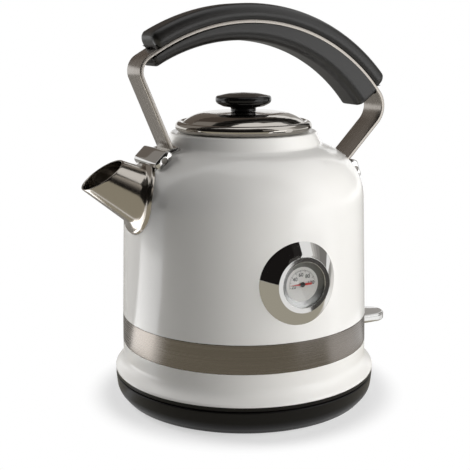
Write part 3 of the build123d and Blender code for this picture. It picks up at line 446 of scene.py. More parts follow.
def side_corners(inside=0.0):
    """Corners of the vessel's side moved in by an amount: from wall to shoulder and from shoulder to neck."""
    return (meeting(wall_foot, wall_out, neck_base, shoulder_out, inside),
            meeting(neck_base, shoulder_out, neck_base, neck_out, inside))


def wall_radius(z, grow=0.0):
    """Outside radius of the vessel grown by an amount: a straight draft, then the shoulder's circle."""
    straight = BODY_RADIUS + grow / wall_out[0] - (z - BAND_TOP) * np.tan(np.radians(WALL_DRAFT))
    bend = SHOULDER_ROUND + grow
    up = np.clip(z - shoulder_centre[1], 0, bend)
    arc = shoulder_centre[0] + np.sqrt(bend ** 2 - up ** 2)
    return np.where(z > shoulder_centre[1] + bend * wall_out[1], arc, straight)


def vessel():
    """Turned wall of even thickness with its collar in the mouth, open where the spout's passage goes."""
    wall, lean, collar_foot = VESSEL_WALL, np.radians(NECK_LEAN), RIM - COLLAR_DEPTH
    (shoulder, neck), (shoulder_inside, neck_inside) = side_corners(), side_corners(wall)
    rim_inside = NECK_RADIUS - wall * (1 / np.cos(lean) - np.tan(lean))
    outline = rounded([
        (RECESS, SHELL_FOOT), (RECESS, BAND_TOP), (BODY_RADIUS, BAND_TOP, SHELL_EDGE),
        (*shoulder, SHOULDER_ROUND), (*neck, NECK_ROUND), (NECK_RADIUS, RIM, RIM_ROUND),
        (MOUTH, RIM, 2 * EDGE), (MOUTH, collar_foot, EDGE), (MOUTH + wall, collar_foot, EDGE),
        (MOUTH + wall, RIM - wall), (rim_inside, RIM - wall), (*neck_inside, NECK_ROUND + wall),
        (*shoulder_inside, SHOULDER_ROUND - wall), (BODY_RADIUS - wall, BAND_TOP + wall),
        (RECESS - wall, BAND_TOP - wall), (RECESS - wall, SHELL_FOOT)])
    mesh = mesh_of("vessel_form", [turned(spaced(outline))], wrap_rows=True)
    return carved(mesh, [spout_fill(-SPOUT_WALL)])


def vessel_fill(grow=0.0):
    """Filled form of the vessel for trimming what stands on it, its side moved out by grow."""
    shoulder, neck = side_corners(-grow)
    foot = float(wall_radius(SHELL_FOOT, grow))
    side = rounded([
        (0, SHELL_FOOT), (foot, SHELL_FOOT), (*shoulder, SHOULDER_ROUND + grow),
        (*neck, max(NECK_ROUND - grow, 1)), (NECK_RADIUS + grow, RIM), (0, RIM)], closed=False)
    return mesh_of("vessel_fill", [turned(spaced(side, closed=False))])


def lever_slot():
    """Room for the lever's swing through skirt and band."""
    return mesh_of("slot", [prism(rectangle(SLOT_LOW, SLOT_HIGH), SLOT_LOW[2], SLOT_HIGH[2])])


def vent(side):
    """Drain slot beside the lever."""
    corner = np.array([VENT_DEPTH, VENT_WIDTH]) / 2
    flat = spun(rectangle(-corner, corner) + (BAND_RADIUS, 0), side * VENT_TURN)
    return mesh_of("vent", [prism(flat, VENT_FOOT, VENT_TOP)])


def skirt():
    """Turned skirt: a foot lip that flares out by a hollow curve under the band, with lever slot and vents.

    The flare leaves the lip at 45 degrees, so the lip's arc takes its radius times the tangent of half that.
    """
    lip = SKIRT_FOOT + EDGE + LIP_ROUND * np.tan(np.radians(45 / 2))
    foot, inside = BAND_RADIUS + FLARE, RECESS - SKIRT_WALL
    outline = rounded([
        (inside, SKIRT_FOOT), (foot, SKIRT_FOOT, EDGE / 2), (foot, lip, LIP_ROUND),
        (BAND_RADIUS, lip + FLARE, FLARE_ROUND), (BAND_RADIUS, BAND_FOOT, EDGE), (RECESS, BAND_FOOT),
        (RECESS, SHELL_FOOT), (inside, SHELL_FOOT)])
    mesh = mesh_of("skirt_form", [turned(spaced(outline))], wrap_rows=True)
    return carved(mesh, [lever_slot(), vent(-1), vent(1)])


def trim_band():
    """Turned steel band with softened edges, notched over the lever."""
    outline = rounded([
        (RECESS + FIT, BAND_FOOT), (BAND_RADIUS, BAND_FOOT, EDGE), (BODY_RADIUS, BAND_TOP, EDGE),
        (RECESS + FIT, BAND_TOP)])
    mesh = mesh_of("band_form", [turned(spaced(outline, 1.5))], wrap_rows=True)
    return carved(mesh, [lever_slot()])


# Spout: rulings of a cone from its point to the vessel
def spout_lines(turns):
    """Point, ruling directions and outward normals of the spout's cone for angles round its axis."""
    top = SPOUT_TIP + SPOUT_MOUTH * direction(SPOUT_TILT)
    under, over = direction(90 - SPOUT_LEAN - SPOUT_FLARE), direction(90 - SPOUT_LEAN + SPOUT_FLARE)
    point = meeting(SPOUT_TIP, under, top, over)
    axis = np.array([direction(-SPOUT_LEAN)[0], 0, direction(-SPOUT_LEAN)[1]])
    up = np.array([-axis[2], 0, axis[0]])
    a = np.linspace(0, 2 * np.pi, turns, endpoint=False)[:, None]
    side = np.cos(a) * np.array([0, 1, 0]) + np.sin(a) * up
    c, s = direction(SPOUT_FLARE)
    return np.array([point[0], 0, point[1]]), c * axis + s * side, c * side - s * axis


def vessel_hit(start, way, grow, near, far):
    """Distance along each line at which it enters the vessel grown by an amount, by halving the interval."""
    low, high = np.full(start.shape[:-1], near), np.full(start.shape[:-1], far)
    for _ in range(40):
        middle = (low + high) / 2
        p = start + middle[..., None] * way
        outside = np.hypot(p[..., 0], p[..., 1]) > wall_radius(p[..., 2], grow)
        low, high = np.where(outside, middle, low), np.where(outside, high, middle)
    return low


def spout():
    """Cone of sheet steel: inner wall, rolled lip, outer wall, hollow fillet and a rounded foot flange.

    A point is placed by its distance off the cone and its distance off the vessel, so the fillet and the
    flange follow both surfaces; each ruling is cut by the mouth's slanted plane.
    """
    point, ruling, normal = spout_lines(160)
    slant = direction(SPOUT_TILT)
    plane = np.array([-slant[1], 0, slant[0]])
    tip = np.array([SPOUT_TIP[0], 0, SPOUT_TIP[1]])
    half = SPOUT_WALL / 2

    def at_mouth(off):
        """Distance along each ruling, moved off the cone, at which it passes the mouth's plane."""
        start = point + off * normal
        return ((tip - start) @ plane) / (ruling @ plane)

    def on_lip(angle):
        """Ring of the lip, a half circle over the sheet's thickness, at an angle from inside to outside."""
        off = -half * (1 + np.cos(angle))
        reach = at_mouth(off) + half * (1 - np.sin(angle))
        return point + off * normal + reach[:, None] * ruling

    def on_vessel(off, grow):
        """Ring in which the cone, moved out by off, meets the vessel grown by an amount."""
        start = point + off * normal
        return start + vessel_hit(start, ruling, grow, *SPOUT_REACH)[:, None] * ruling

    def along_wall(off, grow, count):
        """Rings along the cone, moved out by off, from the lip to the vessel grown by an amount."""
        start = point + off * normal
        share = np.linspace(0, 1, count)[:, None]
        reach = (at_mouth(off) + half) * (1 - share) + vessel_hit(start, ruling, grow, *SPOUT_REACH) * share
        return start + reach[..., None] * ruling

    inner = along_wall(-SPOUT_WALL, 0.0, 20)[::-1]
    lip = [on_lip(t) for t in np.linspace(0, np.pi, 7)[1:-1]]
    outer = along_wall(0.0, FLANGE_THICK + SPOUT_FILLET, 24)
    hollow = [on_vessel(SPOUT_FILLET * u * u, FLANGE_THICK + SPOUT_FILLET * (1 - u) ** 2)
              for u in np.linspace(0, 1, 9)[1:]]
    rim = [on_vessel(FLANGE_WIDTH - FLANGE_ROUND * (1 - s), FLANGE_THICK - FLANGE_ROUND * (1 - c))
           for c, s in map(direction, np.linspace(0, 90, 6))]
    foot = [on_vessel(FLANGE_WIDTH, 0.0), on_vessel(FLANGE_INSIDE, 0.0)]
    rows = np.concatenate([inner, np.stack(lip), outer, np.stack(hollow + rim + foot)])
    return mesh_of("spout_sheet", [rows], wrap_rows=True, sharp=50.0)


def spout_fill(grow):
    """Filled cone of the spout, its side moved out by grow, that reaches into the vessel."""
    point, ruling, normal = spout_lines(96)
    ends = np.array([SPOUT_FILL_FROM, SPOUT_REACH[1]])[:, None, None]
    return mesh_of("spout_fill", [capped(point + grow * normal + ends * ruling)])


def spout_room():
    """Forms of the spout's cone and foot flange with a little air, which the front bracket bridges."""
    cone, shell = spout_fill(FLANGE_WIDTH + SPOUT_AIR), vessel_fill(FLANGE_THICK + SPOUT_AIR)
    return [carved(cone, [shell], "INTERSECT"), spout_fill(SPOUT_AIR)]


# Thermometer: points right, up and out from the dial's middle on the vessel's wall
dial_way = np.array([-np.sin(np.radians(DIAL_TURN)), -np.cos(np.radians(DIAL_TURN))])
dial_origin = np.array([*(wall_radius(np.array(DIAL_HEIGHT)) * dial_way), DIAL_HEIGHT])
dial_axes = np.array([
    (-dial_way[1], dial_way[0], 0),
    (*(-wall_out[1] * dial_way), wall_out[0]),
    (*(wall_out[0] * dial_way), wall_out[1])])


def on_dial(points):
    """Points given right, up and out from the dial's middle, in the kettle's frame."""
    return placed(points, dial_origin, dial_axes)


def rim_on_wall(radius):
    """Circle about the dial's axis dropped along that axis onto the vessel's wall."""
    ring = turned(np.array([(radius, BEZEL_RISE)]), 192)[0]
    down = vessel_hit(on_dial(ring), -dial_axes[2], 0.0, 0.0, 4 * BEZEL_RISE)
    return ring - np.array([0, 0, 1]) * down[:, None]


def thermometer_bezel():
    """Flat ring turned about the dial's axis, with straight lines from its edge to a circle on the wall."""
    seat, bore = LENS_LEVEL + LENS_THICK, CASE_RADIUS + FIT
    outline = rounded([
        BEZEL_BREAK + (BEZEL_RING, BEZEL_RISE), (BEZEL_RING, BEZEL_RISE, EDGE), (WINDOW, BEZEL_RISE, EDGE),
        (WINDOW, seat), (bore, seat), (bore, 0.0)], closed=False)
    ring = turned(spaced(outline, 1.0, closed=False), 192)
    share = np.linspace(0, 1, 9)[:-1, None, None]
    flank = (1 - share) * rim_on_wall(BEZEL_RADIUS) + share * ring[0]
    rows = np.concatenate([flank, ring[:-1], rim_on_wall(bore)[None]])
    return mesh_of("bezel_ring", [on_dial(rows)], wrap_rows=True)


def dial_ring():
    """Ring that slopes from the window's edge down to the dial."""
    edge = CASE_RADIUS - CASE_WALL
    outline = rounded([
        (FACE_RADIUS, DIAL_LEVEL), (edge, DIAL_LEVEL), (edge, LENS_LEVEL), (WINDOW, LENS_LEVEL, EDGE / 3)])
    return mesh_of("dial_ring", [on_dial(turned(outline, 128))], wrap_rows=True)


def dial_sheet():
    """Thin round sheet with a hole for the spindle."""
    outline = rectangle((DIAL_HOLE, DIAL_LEVEL - DIAL_THICK), (DIAL_RADIUS, DIAL_LEVEL))
    return mesh_of("dial_sheet", [on_dial(turned(outline, 96))], wrap_rows=True)


def dial_bars(angles, inner, outer, width):
    """Flat radial bars of ink on the dial at angles counted from its right-hand side."""
    bar = rectangle((inner, -width / 2), (outer, width / 2))
    low, high = DIAL_LEVEL - INK_SUNK, DIAL_LEVEL + INK_RISE
    return [on_dial(prism(spun(bar, angle), low, high)) for angle in angles]


def dial_number(value, angle):
    """Plain number as a flat mesh, upright on the dial at an angle round it."""
    words = bpy.data.curves.new("number", "FONT")
    words.body, words.size = str(value), NUMBER_SIZE
    words.extrude, words.offset = NUMBER_DEPTH, NUMBER_WEIGHT
    words.align_x, words.align_y = "CENTER", "CENTER"
    holder = in_scene("number", words)
    flat = bpy.data.meshes.new_from_object(holder)
    bpy.data.objects.remove(holder)
    points = np.empty(len(flat.vertices) * 3, np.float32)
    flat.vertices.foreach_get("co", points)
    spot = np.array([*(NUMBER_RADIUS * direction(angle)), DIAL_LEVEL + INK_SUNK / 2])
    moved = on_dial(points.reshape(-1, 3) + spot) * MM
    flat.vertices.foreach_set("co", moved.astype(np.float32).ravel())
    return flat


def dial_scale():
    """Ticks of equal angle along the scale, every fifth one longer, and a number at every tenth."""
    ticks = np.linspace(DIAL_START, DIAL_END, (len(NUMBERS) - 1) * TICKS_TO_NUMBER + 1)
    bars = dial_bars(ticks, *FINE_TICK) + dial_bars(ticks[::TICKS_TO_LONG], *LONG_TICK)
    numbers = [dial_number(value, angle) for value, angle in zip(NUMBERS, ticks[::TICKS_TO_NUMBER])]
    work = bmesh.new()
    for mesh in [mesh_of("dial_bars", bars), *numbers]:
        work.from_mesh(mesh)
    whole = bpy.data.meshes.new("dial_scale")
    work.to_mesh(whole)
    work.free()
    return tidy(whole)


def needle():
    """Blade that tapers to its point from a blunt tail, on a round spindle about the dial's axis.

    At rest it points just above the lowest mark.
    """
    blade = rounded([
        (-NEEDLE_LENGTH, 0.0), (0, -NEEDLE_HALF), (NEEDLE_TAIL, -TAIL_HALF, TAIL_ROUND),
        (NEEDLE_TAIL, TAIL_HALF, TAIL_ROUND), (0, NEEDLE_HALF)])
    plate = prism(blade, NEEDLE_LEVEL, NEEDLE_LEVEL + NEEDLE_THICK)
    spindle = rod(SPINDLE_RADIUS, SPINDLE_FOOT, NEEDLE_LEVEL, turns=32)
    return mesh_of("needle_blade", [on_dial(plate), on_dial(spindle)])


def needle_cap():
    """Small domed cap over the needle's hub."""
    corners = [(0, 0), (CAP_RADIUS, 0), (CAP_RADIUS, CAP_SIDE, EDGE), (0, CAP_TOP)]
    outline = rounded(corners, closed=False) + (0, NEEDLE_LEVEL + NEEDLE_THICK)
    return mesh_of("needle_cap", [on_dial(turned(outline, 48))])


# Lid and knob
def lid_shell():
    """Spun lid: a nearly flat dome of sheet that turns down and sinks into a rolled bead."""
    knee, end = LID_TOP - LID_FALL, BEAD_CIRCLE - LID_END_IN
    level = LID_SEAT + BEAD + LID_END_UP
    dome = rounded([
        (LID_HOLE, LID_TOP), (LID_KNEE, knee, LID_BEND), (end, level),
        (end - LID_END_WIDTH, level - LID_WALL),
        (LID_KNEE - LID_WALL / 2, knee - LID_WALL, LID_BEND - LID_WALL), (LID_HOLE, LID_TOP - LID_WALL)])
    q = np.linspace(0, 2 * np.pi, 40, endpoint=False)
    bead = np.column_stack([BEAD_CIRCLE + BEAD * np.cos(q), LID_SEAT + BEAD + BEAD * np.sin(q)])
    return mesh_of("lid_dome", [turned(spaced(dome, 1.0)), turned(bead)], wrap_rows=True)


def lid_knob():
    """Turned knob: waisted stem, undercut cap and a flat crown with a rounded edge."""
    outline = rounded([(0, 0), *KNOB_CORNERS, (0, KNOB_HEIGHT)], closed=False) + (0, KNOB_FOOT)
    return mesh_of("knob_cap", [turned(spaced(outline, 0.8, closed=False), 160)])


# Handle
def handle_strap():
    """Flat strap carried along its bent route: each section lies across the route's normal."""
    route = spaced(rounded(STRAP_ROUTE, closed=False, turn_step=2.0), 4.0, closed=False)
    ahead = np.gradient(route, axis=0)
    ahead /= np.linalg.norm(ahead, axis=1)[:, None]
    out = np.stack([-ahead[:, 1], ahead[:, 0]], -1)
    corner = np.array([STRAP_WIDTH, STRAP_THICK]) / 2
    section = rectangle(-corner, corner, STRAP_EDGE, turn_step=20.0)
    xz = route[:, None] + out[:, None] * section[None, :, 1:]
    y = np.broadcast_to(section[:, 0], xz.shape[:2])
    return mesh_of("strap_bar", [capped(np.stack([xz[..., 0], y, xz[..., 1]], -1))])


def arch_middle():
    """Centre of the handle's arch, one radius inside both straight runs that it joins."""
    front, peak, rear = (np.array(STRAP_ROUTE[k][:2]) for k in (1, 2, 3))
    rise, fall = (peak - front) / np.linalg.norm(peak - front), (rear - peak) / np.linalg.norm(rear - peak)
    return meeting(peak, np.array([-rise[1], rise[0]]), peak, np.array([-fall[1], fall[0]]), ARCH_ROUND)


def end_depths(angles, radius, bend):
    """Inset of a section near either end, a quarter circle of radius bend along the arc."""
    from_end = np.minimum(angles - angles[0], angles[-1] - angles) * radius
    short = np.clip(bend - from_end, 0, bend)
    return bend - np.sqrt(bend ** 2 - short ** 2)


def grip_angles(bend, radius, rear):
    """Angles along a grip from end to end, close together near both ends."""
    a, b = np.radians(GRIP_FRONT), np.radians(rear)
    q = bend / radius * (1 - np.cos(np.linspace(0, np.pi / 2, 8)))
    return np.concatenate([a + q, np.linspace(a + bend / radius, b - bend / radius, 48)[1:-1], (b - q)[::-1]])


def grip_section(seam, flat, belly, belly_round, crown):
    """Closed D across the grip: a flat seam of some half width, a belly at each side and a rounded crown."""
    half = GRIP_WIDTH / 2
    right = [(seam, flat, EDGE), (half, belly, belly_round), (half - CROWN_IN, crown, CROWN_ROUND)]
    left = [(-across, out, radius) for across, out, radius in right[::-1]]
    return rounded(right + left)


def swept(sections, angles, centre):
    """Sections, given across and outwards, carried round a centre in the side view."""
    r, y = sections[..., 1], sections[..., 0]
    x = centre[0] + r * np.sin(angles)[:, None]
    z = centre[1] + r * np.cos(angles)[:, None]
    return capped(np.stack([x, y, z], -1))


def grip_upper():
    """Rounded black upper half of the grip, a D carried along the arch, its ends rounded."""
    low = ARCH_ROUND + STRAP_THICK / 2 + FIT
    outline = spaced(grip_section(GRIP_SEAM, low, low + GRIP_RISE / 3, GRIP_BELLY, low + GRIP_RISE), 1.5)
    angles = grip_angles(GRIP_END, low, GRIP_REAR)
    rows = inset(outline, end_depths(angles, low, GRIP_END))
    rows[..., 1] += low - rows[..., 1].min(axis=1, keepdims=True)
    return mesh_of("grip_top", [swept(rows, angles, arch_middle())])


def grip_lower():
    """Lower half of the grip: its palm side is a circle about a shifted centre and thickens to the rear."""
    top = ARCH_ROUND - STRAP_THICK / 2 - FIT
    angles = grip_angles(PALM_END, PALM_ROUND, PALM_REAR)
    across = np.sin(angles) * PALM_SHIFT[0] + np.cos(angles) * PALM_SHIFT[1]
    reach = np.sqrt(across ** 2 - PALM_SHIFT @ PALM_SHIFT + top ** 2) - across
    sections = []
    for high, depth in zip(reach, end_depths(angles, PALM_ROUND, PALM_END)):
        outline = grip_section(GRIP_WIDTH / 2, high, PALM_ROUND + GRIP_RISE / 2, PALM_BELLY, PALM_ROUND)
        row = inset(outline, [depth])[0]
        sections.append(row + (0, high - row[:, 1].max()))
    return mesh_of("grip_palm", [swept(np.stack(sections), angles, arch_middle() + PALM_SHIFT)])


# Brackets
def shoulder_frame(place, side):
    """Origin and axes on the shoulder's round: downhill, across and out; side is 1 rear, -1 front."""
    out = direction(place)
    spot = shoulder_centre + SHOULDER_ROUND * out
    axes = np.array([(side * out[1], 0, -out[0]), (0, side, 0), (side * out[0], 0, out[1])])
    return np.array([side * spot[0], 0, spot[1]]), axes


def bracket(name, bar, place, side, room):
    """Cast foot of the handle: a low web round the strap's end and an oval bar across it.

    The bar is an outline of flats and rounds carried across, tilted by an angle in the side view, with a
    screw well in either end. The whole is trimmed to the vessel and to the room that its neighbours need.
    """
    origin, axes = shoulder_frame(place, side)
    c, s = direction(bar[2])
    tilt = np.array([(c, 0, -s), (0, 1, 0), (s, 0, c)])
    spot = np.array([bar[0], 0, bar[1]])

    def on_bar(points):
        """Points given along the bar's own axes, in the kettle's frame."""
        return placed(placed(points, spot, tilt), origin, axes)

    foot = block(spaced(rounded(WEB_CORNERS)), WEB_WIDTH, WEB_EDGE)
    web = mesh_of(name + "_web", [placed(foot, origin, axes)])
    corner = np.array([BAR_LONG, BAR_THICK]) / 2
    oval = spaced(rectangle(-corner, corner, BAR_ROUND), 1.5)
    across = mesh_of(name + "_bar", [on_bar(block(oval, BAR_LENGTH, BAR_RIM))])
    reach, wells = BAR_LENGTH / 2, []
    for end in (-1, 1):
        low, high = sorted((end * (reach - WELL_DEPTH), end * (reach + WELL_PAST)))
        wells.append(mesh_of(name + "_well", [on_bar(laid(rod(WELL_RADIUS, low, high)))]))
    return carved(carved(web, [across], "UNION"), [vessel_fill(), *wells, *room])


# Switch lever
def switch_lever():
    """Tongue with a round tip and softened edges, a cross hub on its pin and a short inner arm."""
    half = LEVER_WIDTH / 2
    plan = rounded([
        (PIVOT[0], -half), (LEVER_REACH, -half, TIP_ROUND), (LEVER_REACH, half, TIP_ROUND),
        (PIVOT[0], half)])
    tongue = laid(block(spaced(plan), LEVER_THICK, LEVER_EDGE)) + (0, 0, PIVOT[2])
    hub = laid(rod(HUB_RADIUS, -half, half, HUB_EDGE)) + PIVOT
    flat = rectangle((-ARM_LENGTH, -ARM_THICK / 2), (0, ARM_THICK / 2))
    arm = block(flat, ARM_WIDTH, ARM_EDGE) + (0, ARM_SHIFT, 0) + PIVOT
    return mesh_of("lever_tongue", [tongue, hub, arm])


# Pieces in their places
piece(vessel(), "kettle", "white_enamel", enamel, "body_shell", "mouth_ring")
piece(skirt(), "kettle", "white_plastic", abs_white, "skirt")
piece(trim_band(), "kettle", "brushed_steel", band_steel, "trim_band")
piece(spout(), "kettle", "polished_steel", spout_steel, "spout")
piece(handle_strap(), "kettle", "brushed_steel", strap_steel, "handle_strap")
piece(grip_upper(), "kettle", "black_grip", grip_black, "grip_upper")
piece(grip_lower(), "kettle", "black_grip", grip_black, "grip_lower")
piece(bracket("front", FRONT_BAR, FRONT_PLACE, -1, spout_room()), "kettle", "chrome", chrome, "front_bracket")
piece(bracket("rear", REAR_BAR, REAR_PLACE, 1, []), "kettle", "chrome", chrome, "rear_bracket")
piece(thermometer_bezel(), "kettle", "chrome", chrome, "thermometer_bezel")
piece(dial_ring(), "kettle", "dial_grey", ring_grey, "dial_surround")
piece(dial_sheet(), "kettle", "dial_white", dial_paint, "dial_plate")
piece(dial_scale(), "kettle", "dial_white", ink)
piece(needle(), "needle", "needle_red", red, "thermometer_needle")
piece(needle_cap(), "needle", "needle_red", ink)
piece(lid_shell(), "lid", "polished_steel", mirror_steel, "lid_shell")
piece(lid_knob(), "lid", "gloss_black", knob_black, "lid_knob")
piece(switch_lever(), "switch", "chrome", chrome, "switch_lever")

# Finishes of the nodes that stay as they are, by the record's slots
slot_finish = {
    "white_enamel": enamel, "white_plastic": abs_white, "black_plastic": base_black, "black_grip": grip_black,
    "gloss_black": knob_black, "rubber": rubber, "brushed_steel": band_steel, "polished_steel": mirror_steel,
    "chrome": chrome, "steel": plain_steel, "fastener_steel": plain_steel, "brass": brass,
    "aluminium": aluminium, "glass": glass, "dial_white": dial_paint, "dial_grey": ring_grey,
    "needle_red": red}
for row in frame["record"]["subparts"]:
    node = frame["nodes"][row["node"]]
    node.data.materials.clear()
    node.data.materials.append(slot_finish[row["material_slot"]])


# Floor, light and camera: metres, degrees and watts; azimuth 0 is in front at -Y and 90 at +X
FLOOR_HALF, FLOOR_SHADE, FLOOR_LIFT = 1.5, "#B4B4B4", 0.5
SHADOW_FADE = 0.087, 0.108
WHITE = (1.0, 1.0, 1.0, 1.0)
AMBIENT = 0.055
AIM_HEIGHT, CARD_REACH, CARD_LIFT = 0.1, 1.6, 0.001

# Lamps: name, azimuth, height, distance, width, tallness and power
LAMPS = (
    ("key", 45, 0.4, 0.95, 0.9, 0.7, 6.9),
    ("fill", 20, 0.4, 0.95, 0.9, 0.7, 4.4),
    ("rim", -140, 0.3, 0.65, 0.36, 0.6, 4.6),
    ("hair", 125, 0.95, 0.5, 0.3, 0.3, 1.1))

# Painted reflections: glowing flats round the kettle that only reflections see; name, azimuths, elevations,
# shade and strength if not one
UPRIGHT_CARDS = (
    ("front", (-112, 5), (-5, 48), "#1C1A19"),
    ("front_low", (5, 22), (-5, 10), "#2A2827"),
    ("glint", (22, 46), (-6, 6), "#FFFFFF", 1.9),
    ("front_step_14", (5, 32), (10, 14), "#454240"),
    ("front_step_18", (5, 32), (14, 18), "#5E5B58"),
    ("front_step_22", (5, 32), (18, 22), "#7B7874"),
    ("front_step_27", (5, 32), (22, 27), "#9C9893"),
    ("front_step_33", (5, 32), (27, 33), "#BDB8B2"),
    ("front_top", (5, 30), (33, 48), "#2A2827"),
    ("front_high", (-112, 30), (48, 74), "#4A4846"),
    ("side_step_66", (60, 66), (4, 40), "#CFCDCA"),
    ("side_step_72", (66, 72), (4, 40), "#B3B1AE"),
    ("side_step_80", (72, 80), (4, 40), "#9A9895"),
    ("side_step_116", (80, 116), (4, 40), "#858380"),
    ("behind", (146, 190), (10, 34), "#6E665F"),
    ("behind_right", (136, 146), (6, 24), "#A9A6A2"),
    ("behind_left", (182, 232), (34, 65), "#8E8984"),
    ("behind_side", (190, 232), (12, 34), "#8E8984"),
    ("above", (118, 182), (34, 65), "#544C46"))

# Painted reflections: glowing flats on the table that only reflections see; name, azimuths, radii, shade and
# strength if not one
LYING_CARDS = (
    ("streak", (-134, -103), (0.165, 0.6), "#FFFFFF", 2.9),
    ("streak_edge", (-103, -95), (0.165, 0.26), "#FFFFFF", 1.3),
    ("table_left", (-134, -103), (0.09, 0.165), "#AEA99A"),
    ("table_front", (-95, 14), (0.09, 1.5), "#AEA99A"),
    ("table_far", (-103, -95), (0.26, 1.5), "#AEA99A"),
    ("table_near", (14, 40), (0.09, 0.24), "#AEA99A"),
    ("table_foot", (40, 95), (0.09, 0.158), "#AEA99A"),
    ("table_right", (40, 72), (0.158, 0.24), "#FFFFFF", 1.2),
    ("table_mid", (20, 46), (0.3, 0.8), "#4A4846"),
    ("table_glint", (18, 46), (0.8, 1.5), "#FFFFFF", 1.9),
    ("table_side", (60, 95), (0.26, 1.5), "#9F9D9A"),
    ("table_behind", (95, 226), (0.12, 1.5), "#9C9A96"))

# The photograph's camera: its place, its turn to the right of +Y, its dip and its roll
CAMERA_PLACE = (-0.29065, -0.53979, 0.23933)
CAMERA_TURN, CAMERA_DIP, CAMERA_ROLL = 27.773, 12.393, -0.194
LENS_MM, SENSOR_MM = 73.5, 36.0


def bare_material(name):
    """New material with nothing but its output; returns the material and its tree."""
    material = bpy.data.materials.new(name)
    material.use_nodes = True
    tree = material.node_tree
    tree.nodes.remove(tree.nodes["Principled BSDF"])
    return material, tree


def seen_directly(tree):
    """One for a ray from the camera, off a mirror or through glass, and nought for one that only lights."""
    ray = add(tree, "LightPath")
    seen = ray.outputs["Is Camera Ray"]
    for kind in ("Is Glossy Ray", "Is Transmission Ray"):
        seen = add(tree, "Math", {0: seen, 1: ray.outputs[kind]}, operation="MAXIMUM").outputs[0]
    return seen


def pale_floor():
    """White floor that takes the shadow near the kettle and fades to the white background further out."""
    material, tree = bare_material("matt_white_floor")
    place = add(tree, "TexCoord").outputs["Object"]
    reach = add(tree, "VectorMath", {0: place}, operation="LENGTH").outputs["Value"]
    start, stop = SHADOW_FADE
    fade = add(tree, "MapRange", {"Value": reach, "From Min": start, "From Max": stop},
               interpolation_type="SMOOTHSTEP").outputs["Result"]
    seen = seen_directly(tree)
    lift = add(tree, "Math", {0: seen, 1: FLOOR_LIFT}, operation="MULTIPLY").outputs[0]
    matt = add(tree, "BsdfDiffuse", {"Color": linear(FLOOR_SHADE)}).outputs["BSDF"]
    glow = add(tree, "Emission", {"Color": WHITE, "Strength": lift}).outputs["Emission"]
    near = add(tree, "AddShader", {0: matt, 1: glow}).outputs["Shader"]
    white = add(tree, "Emission", {"Color": WHITE, "Strength": 1.0}).outputs["Emission"]
    share = add(tree, "Math", {0: fade, 1: seen}, operation="MULTIPLY").outputs[0]
    mix = add(tree, "MixShader", {0: share, 1: near, 2: white})
    tree.links.new(mix.outputs["Shader"], tree.nodes["Material Output"].inputs["Surface"])
    flat = rectangle((-FLOOR_HALF, -FLOOR_HALF), (FLOOR_HALF, FLOOR_HALF))
    mesh = bpy.data.meshes.new("floor")
    mesh.from_pydata(np.column_stack([flat, np.zeros(4)]).tolist(), [], [(0, 1, 2, 3)])
    mesh.materials.append(material)
    floor = in_scene("floor", mesh)


def surroundings():
    """White to the camera and in reflections, dim as a light on the object."""
    world = bpy.data.worlds.new("studio")
    bpy.context.scene.world = world
    world.use_nodes = True
    tree = world.node_tree
    level = add(tree, "MapRange", {"Value": seen_directly(tree), "To Min": AMBIENT, "To Max": 1.0})
    back = tree.nodes["Background"]
    back.inputs["Color"].default_value = WHITE
    tree.links.new(level.outputs["Result"], back.inputs["Strength"])


def softbox(name, azimuth, height, distance, width, tall, power):
    """Rectangular lamp on a circle round the kettle, turned to it; bright metal doesn't show its outline."""
    lamp = bpy.data.lights.new(name, "AREA")
    lamp.shape, lamp.size, lamp.size_y, lamp.energy = "RECTANGLE", width, tall, power
    c, s = direction(azimuth)
    spot = np.array([distance * s, -distance * c, height])
    back = spot - (0, 0, AIM_HEIGHT)
    back /= np.linalg.norm(back)
    right = np.cross((0, 0, 1), back)
    right /= np.linalg.norm(right)
    stand = np.eye(4)
    stand[:3] = np.stack([right, np.cross(back, right), back, spot], 1)
    obj = in_scene(name, lamp)
    obj.matrix_world = Matrix(stand.tolist())
    obj.visible_glossy = False


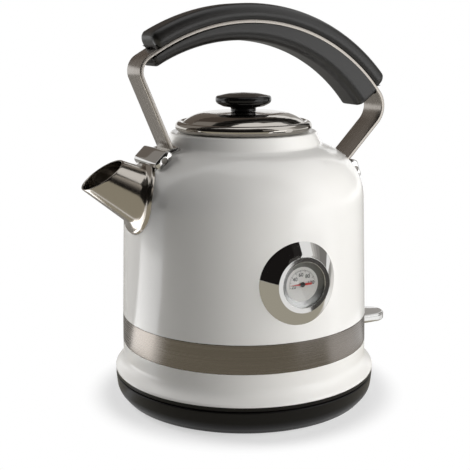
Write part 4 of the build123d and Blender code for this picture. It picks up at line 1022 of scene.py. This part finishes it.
def upright(azimuths, elevations):
    """Part of a sphere round the kettle between two azimuths and two elevations."""
    a = np.radians(np.linspace(*azimuths, 25))[:, None]
    e = np.radians(np.linspace(*elevations, 13))[None]
    x, y, z = np.cos(e) * np.sin(a), -np.cos(e) * np.cos(a), np.sin(e) + 0 * a
    return CARD_REACH * np.stack([x, y, z], -1) + (0, 0, AIM_HEIGHT)


def lying(azimuths, radii):
    """Sector of a ring just above the floor between two azimuths and two radii."""
    a = np.radians(np.linspace(*azimuths, 25))[:, None]
    r = np.linspace(*radii, 3)[None]
    return np.stack([r * np.sin(a), -r * np.cos(a), CARD_LIFT + 0 * (a + r)], -1)


def card(name, points, shade, strength=1.0):
    """Studio flat over a grid of points that glows an even colour, seen only in reflections: a painted
    reflection.
    """
    rows, columns = points.shape[:2]
    corner = np.arange(rows - 1)[:, None] * columns + np.arange(columns - 1)[None]
    faces = np.stack([corner, corner + columns, corner + columns + 1, corner + 1], -1)
    mesh = bpy.data.meshes.new("card_" + name)
    mesh.from_pydata(points.reshape(-1, 3).tolist(), [], faces.reshape(-1, 4).tolist())
    material, tree = bare_material("glowing_card_" + name)
    # The card glows with its shade times its strength, a painted reflection and not a matt surface
    glow = add(tree, "Emission", {"Color": linear(shade), "Strength": strength})
    tree.links.new(glow.outputs["Emission"], tree.nodes["Material Output"].inputs["Surface"])
    mesh.materials.append(material)
    obj = in_scene("card_" + name, mesh)
    obj.visible_camera = obj.visible_diffuse = obj.visible_shadow = False


def photo_camera():
    """Camera at the photograph's viewpoint: level along +Y, then rolled, dipped, turned and put in place."""
    lens = bpy.data.cameras.new("camera")
    lens.lens, lens.sensor_width = LENS_MM, SENSOR_MM
    camera = in_scene("camera", lens)
    turn, dip, roll = np.radians((CAMERA_TURN, CAMERA_DIP, CAMERA_ROLL))
    camera.matrix_world = (Matrix.Translation(CAMERA_PLACE) @ Matrix.Rotation(-turn, 4, "Z")
                           @ Matrix.Rotation(np.pi / 2 - dip, 4, "X") @ Matrix.Rotation(roll, 4, "Z"))
    bpy.context.scene.camera = camera


pale_floor()
surroundings()
for lamp in LAMPS:
    softbox(*lamp)
for surface, cards in ((upright, UPRIGHT_CARDS), (lying, LYING_CARDS)):
    for name, azimuths, span, *look in cards:
        card(name, surface(azimuths, span), *look)
photo_camera()
bpy.context.scene.view_settings.view_transform = "Standard"
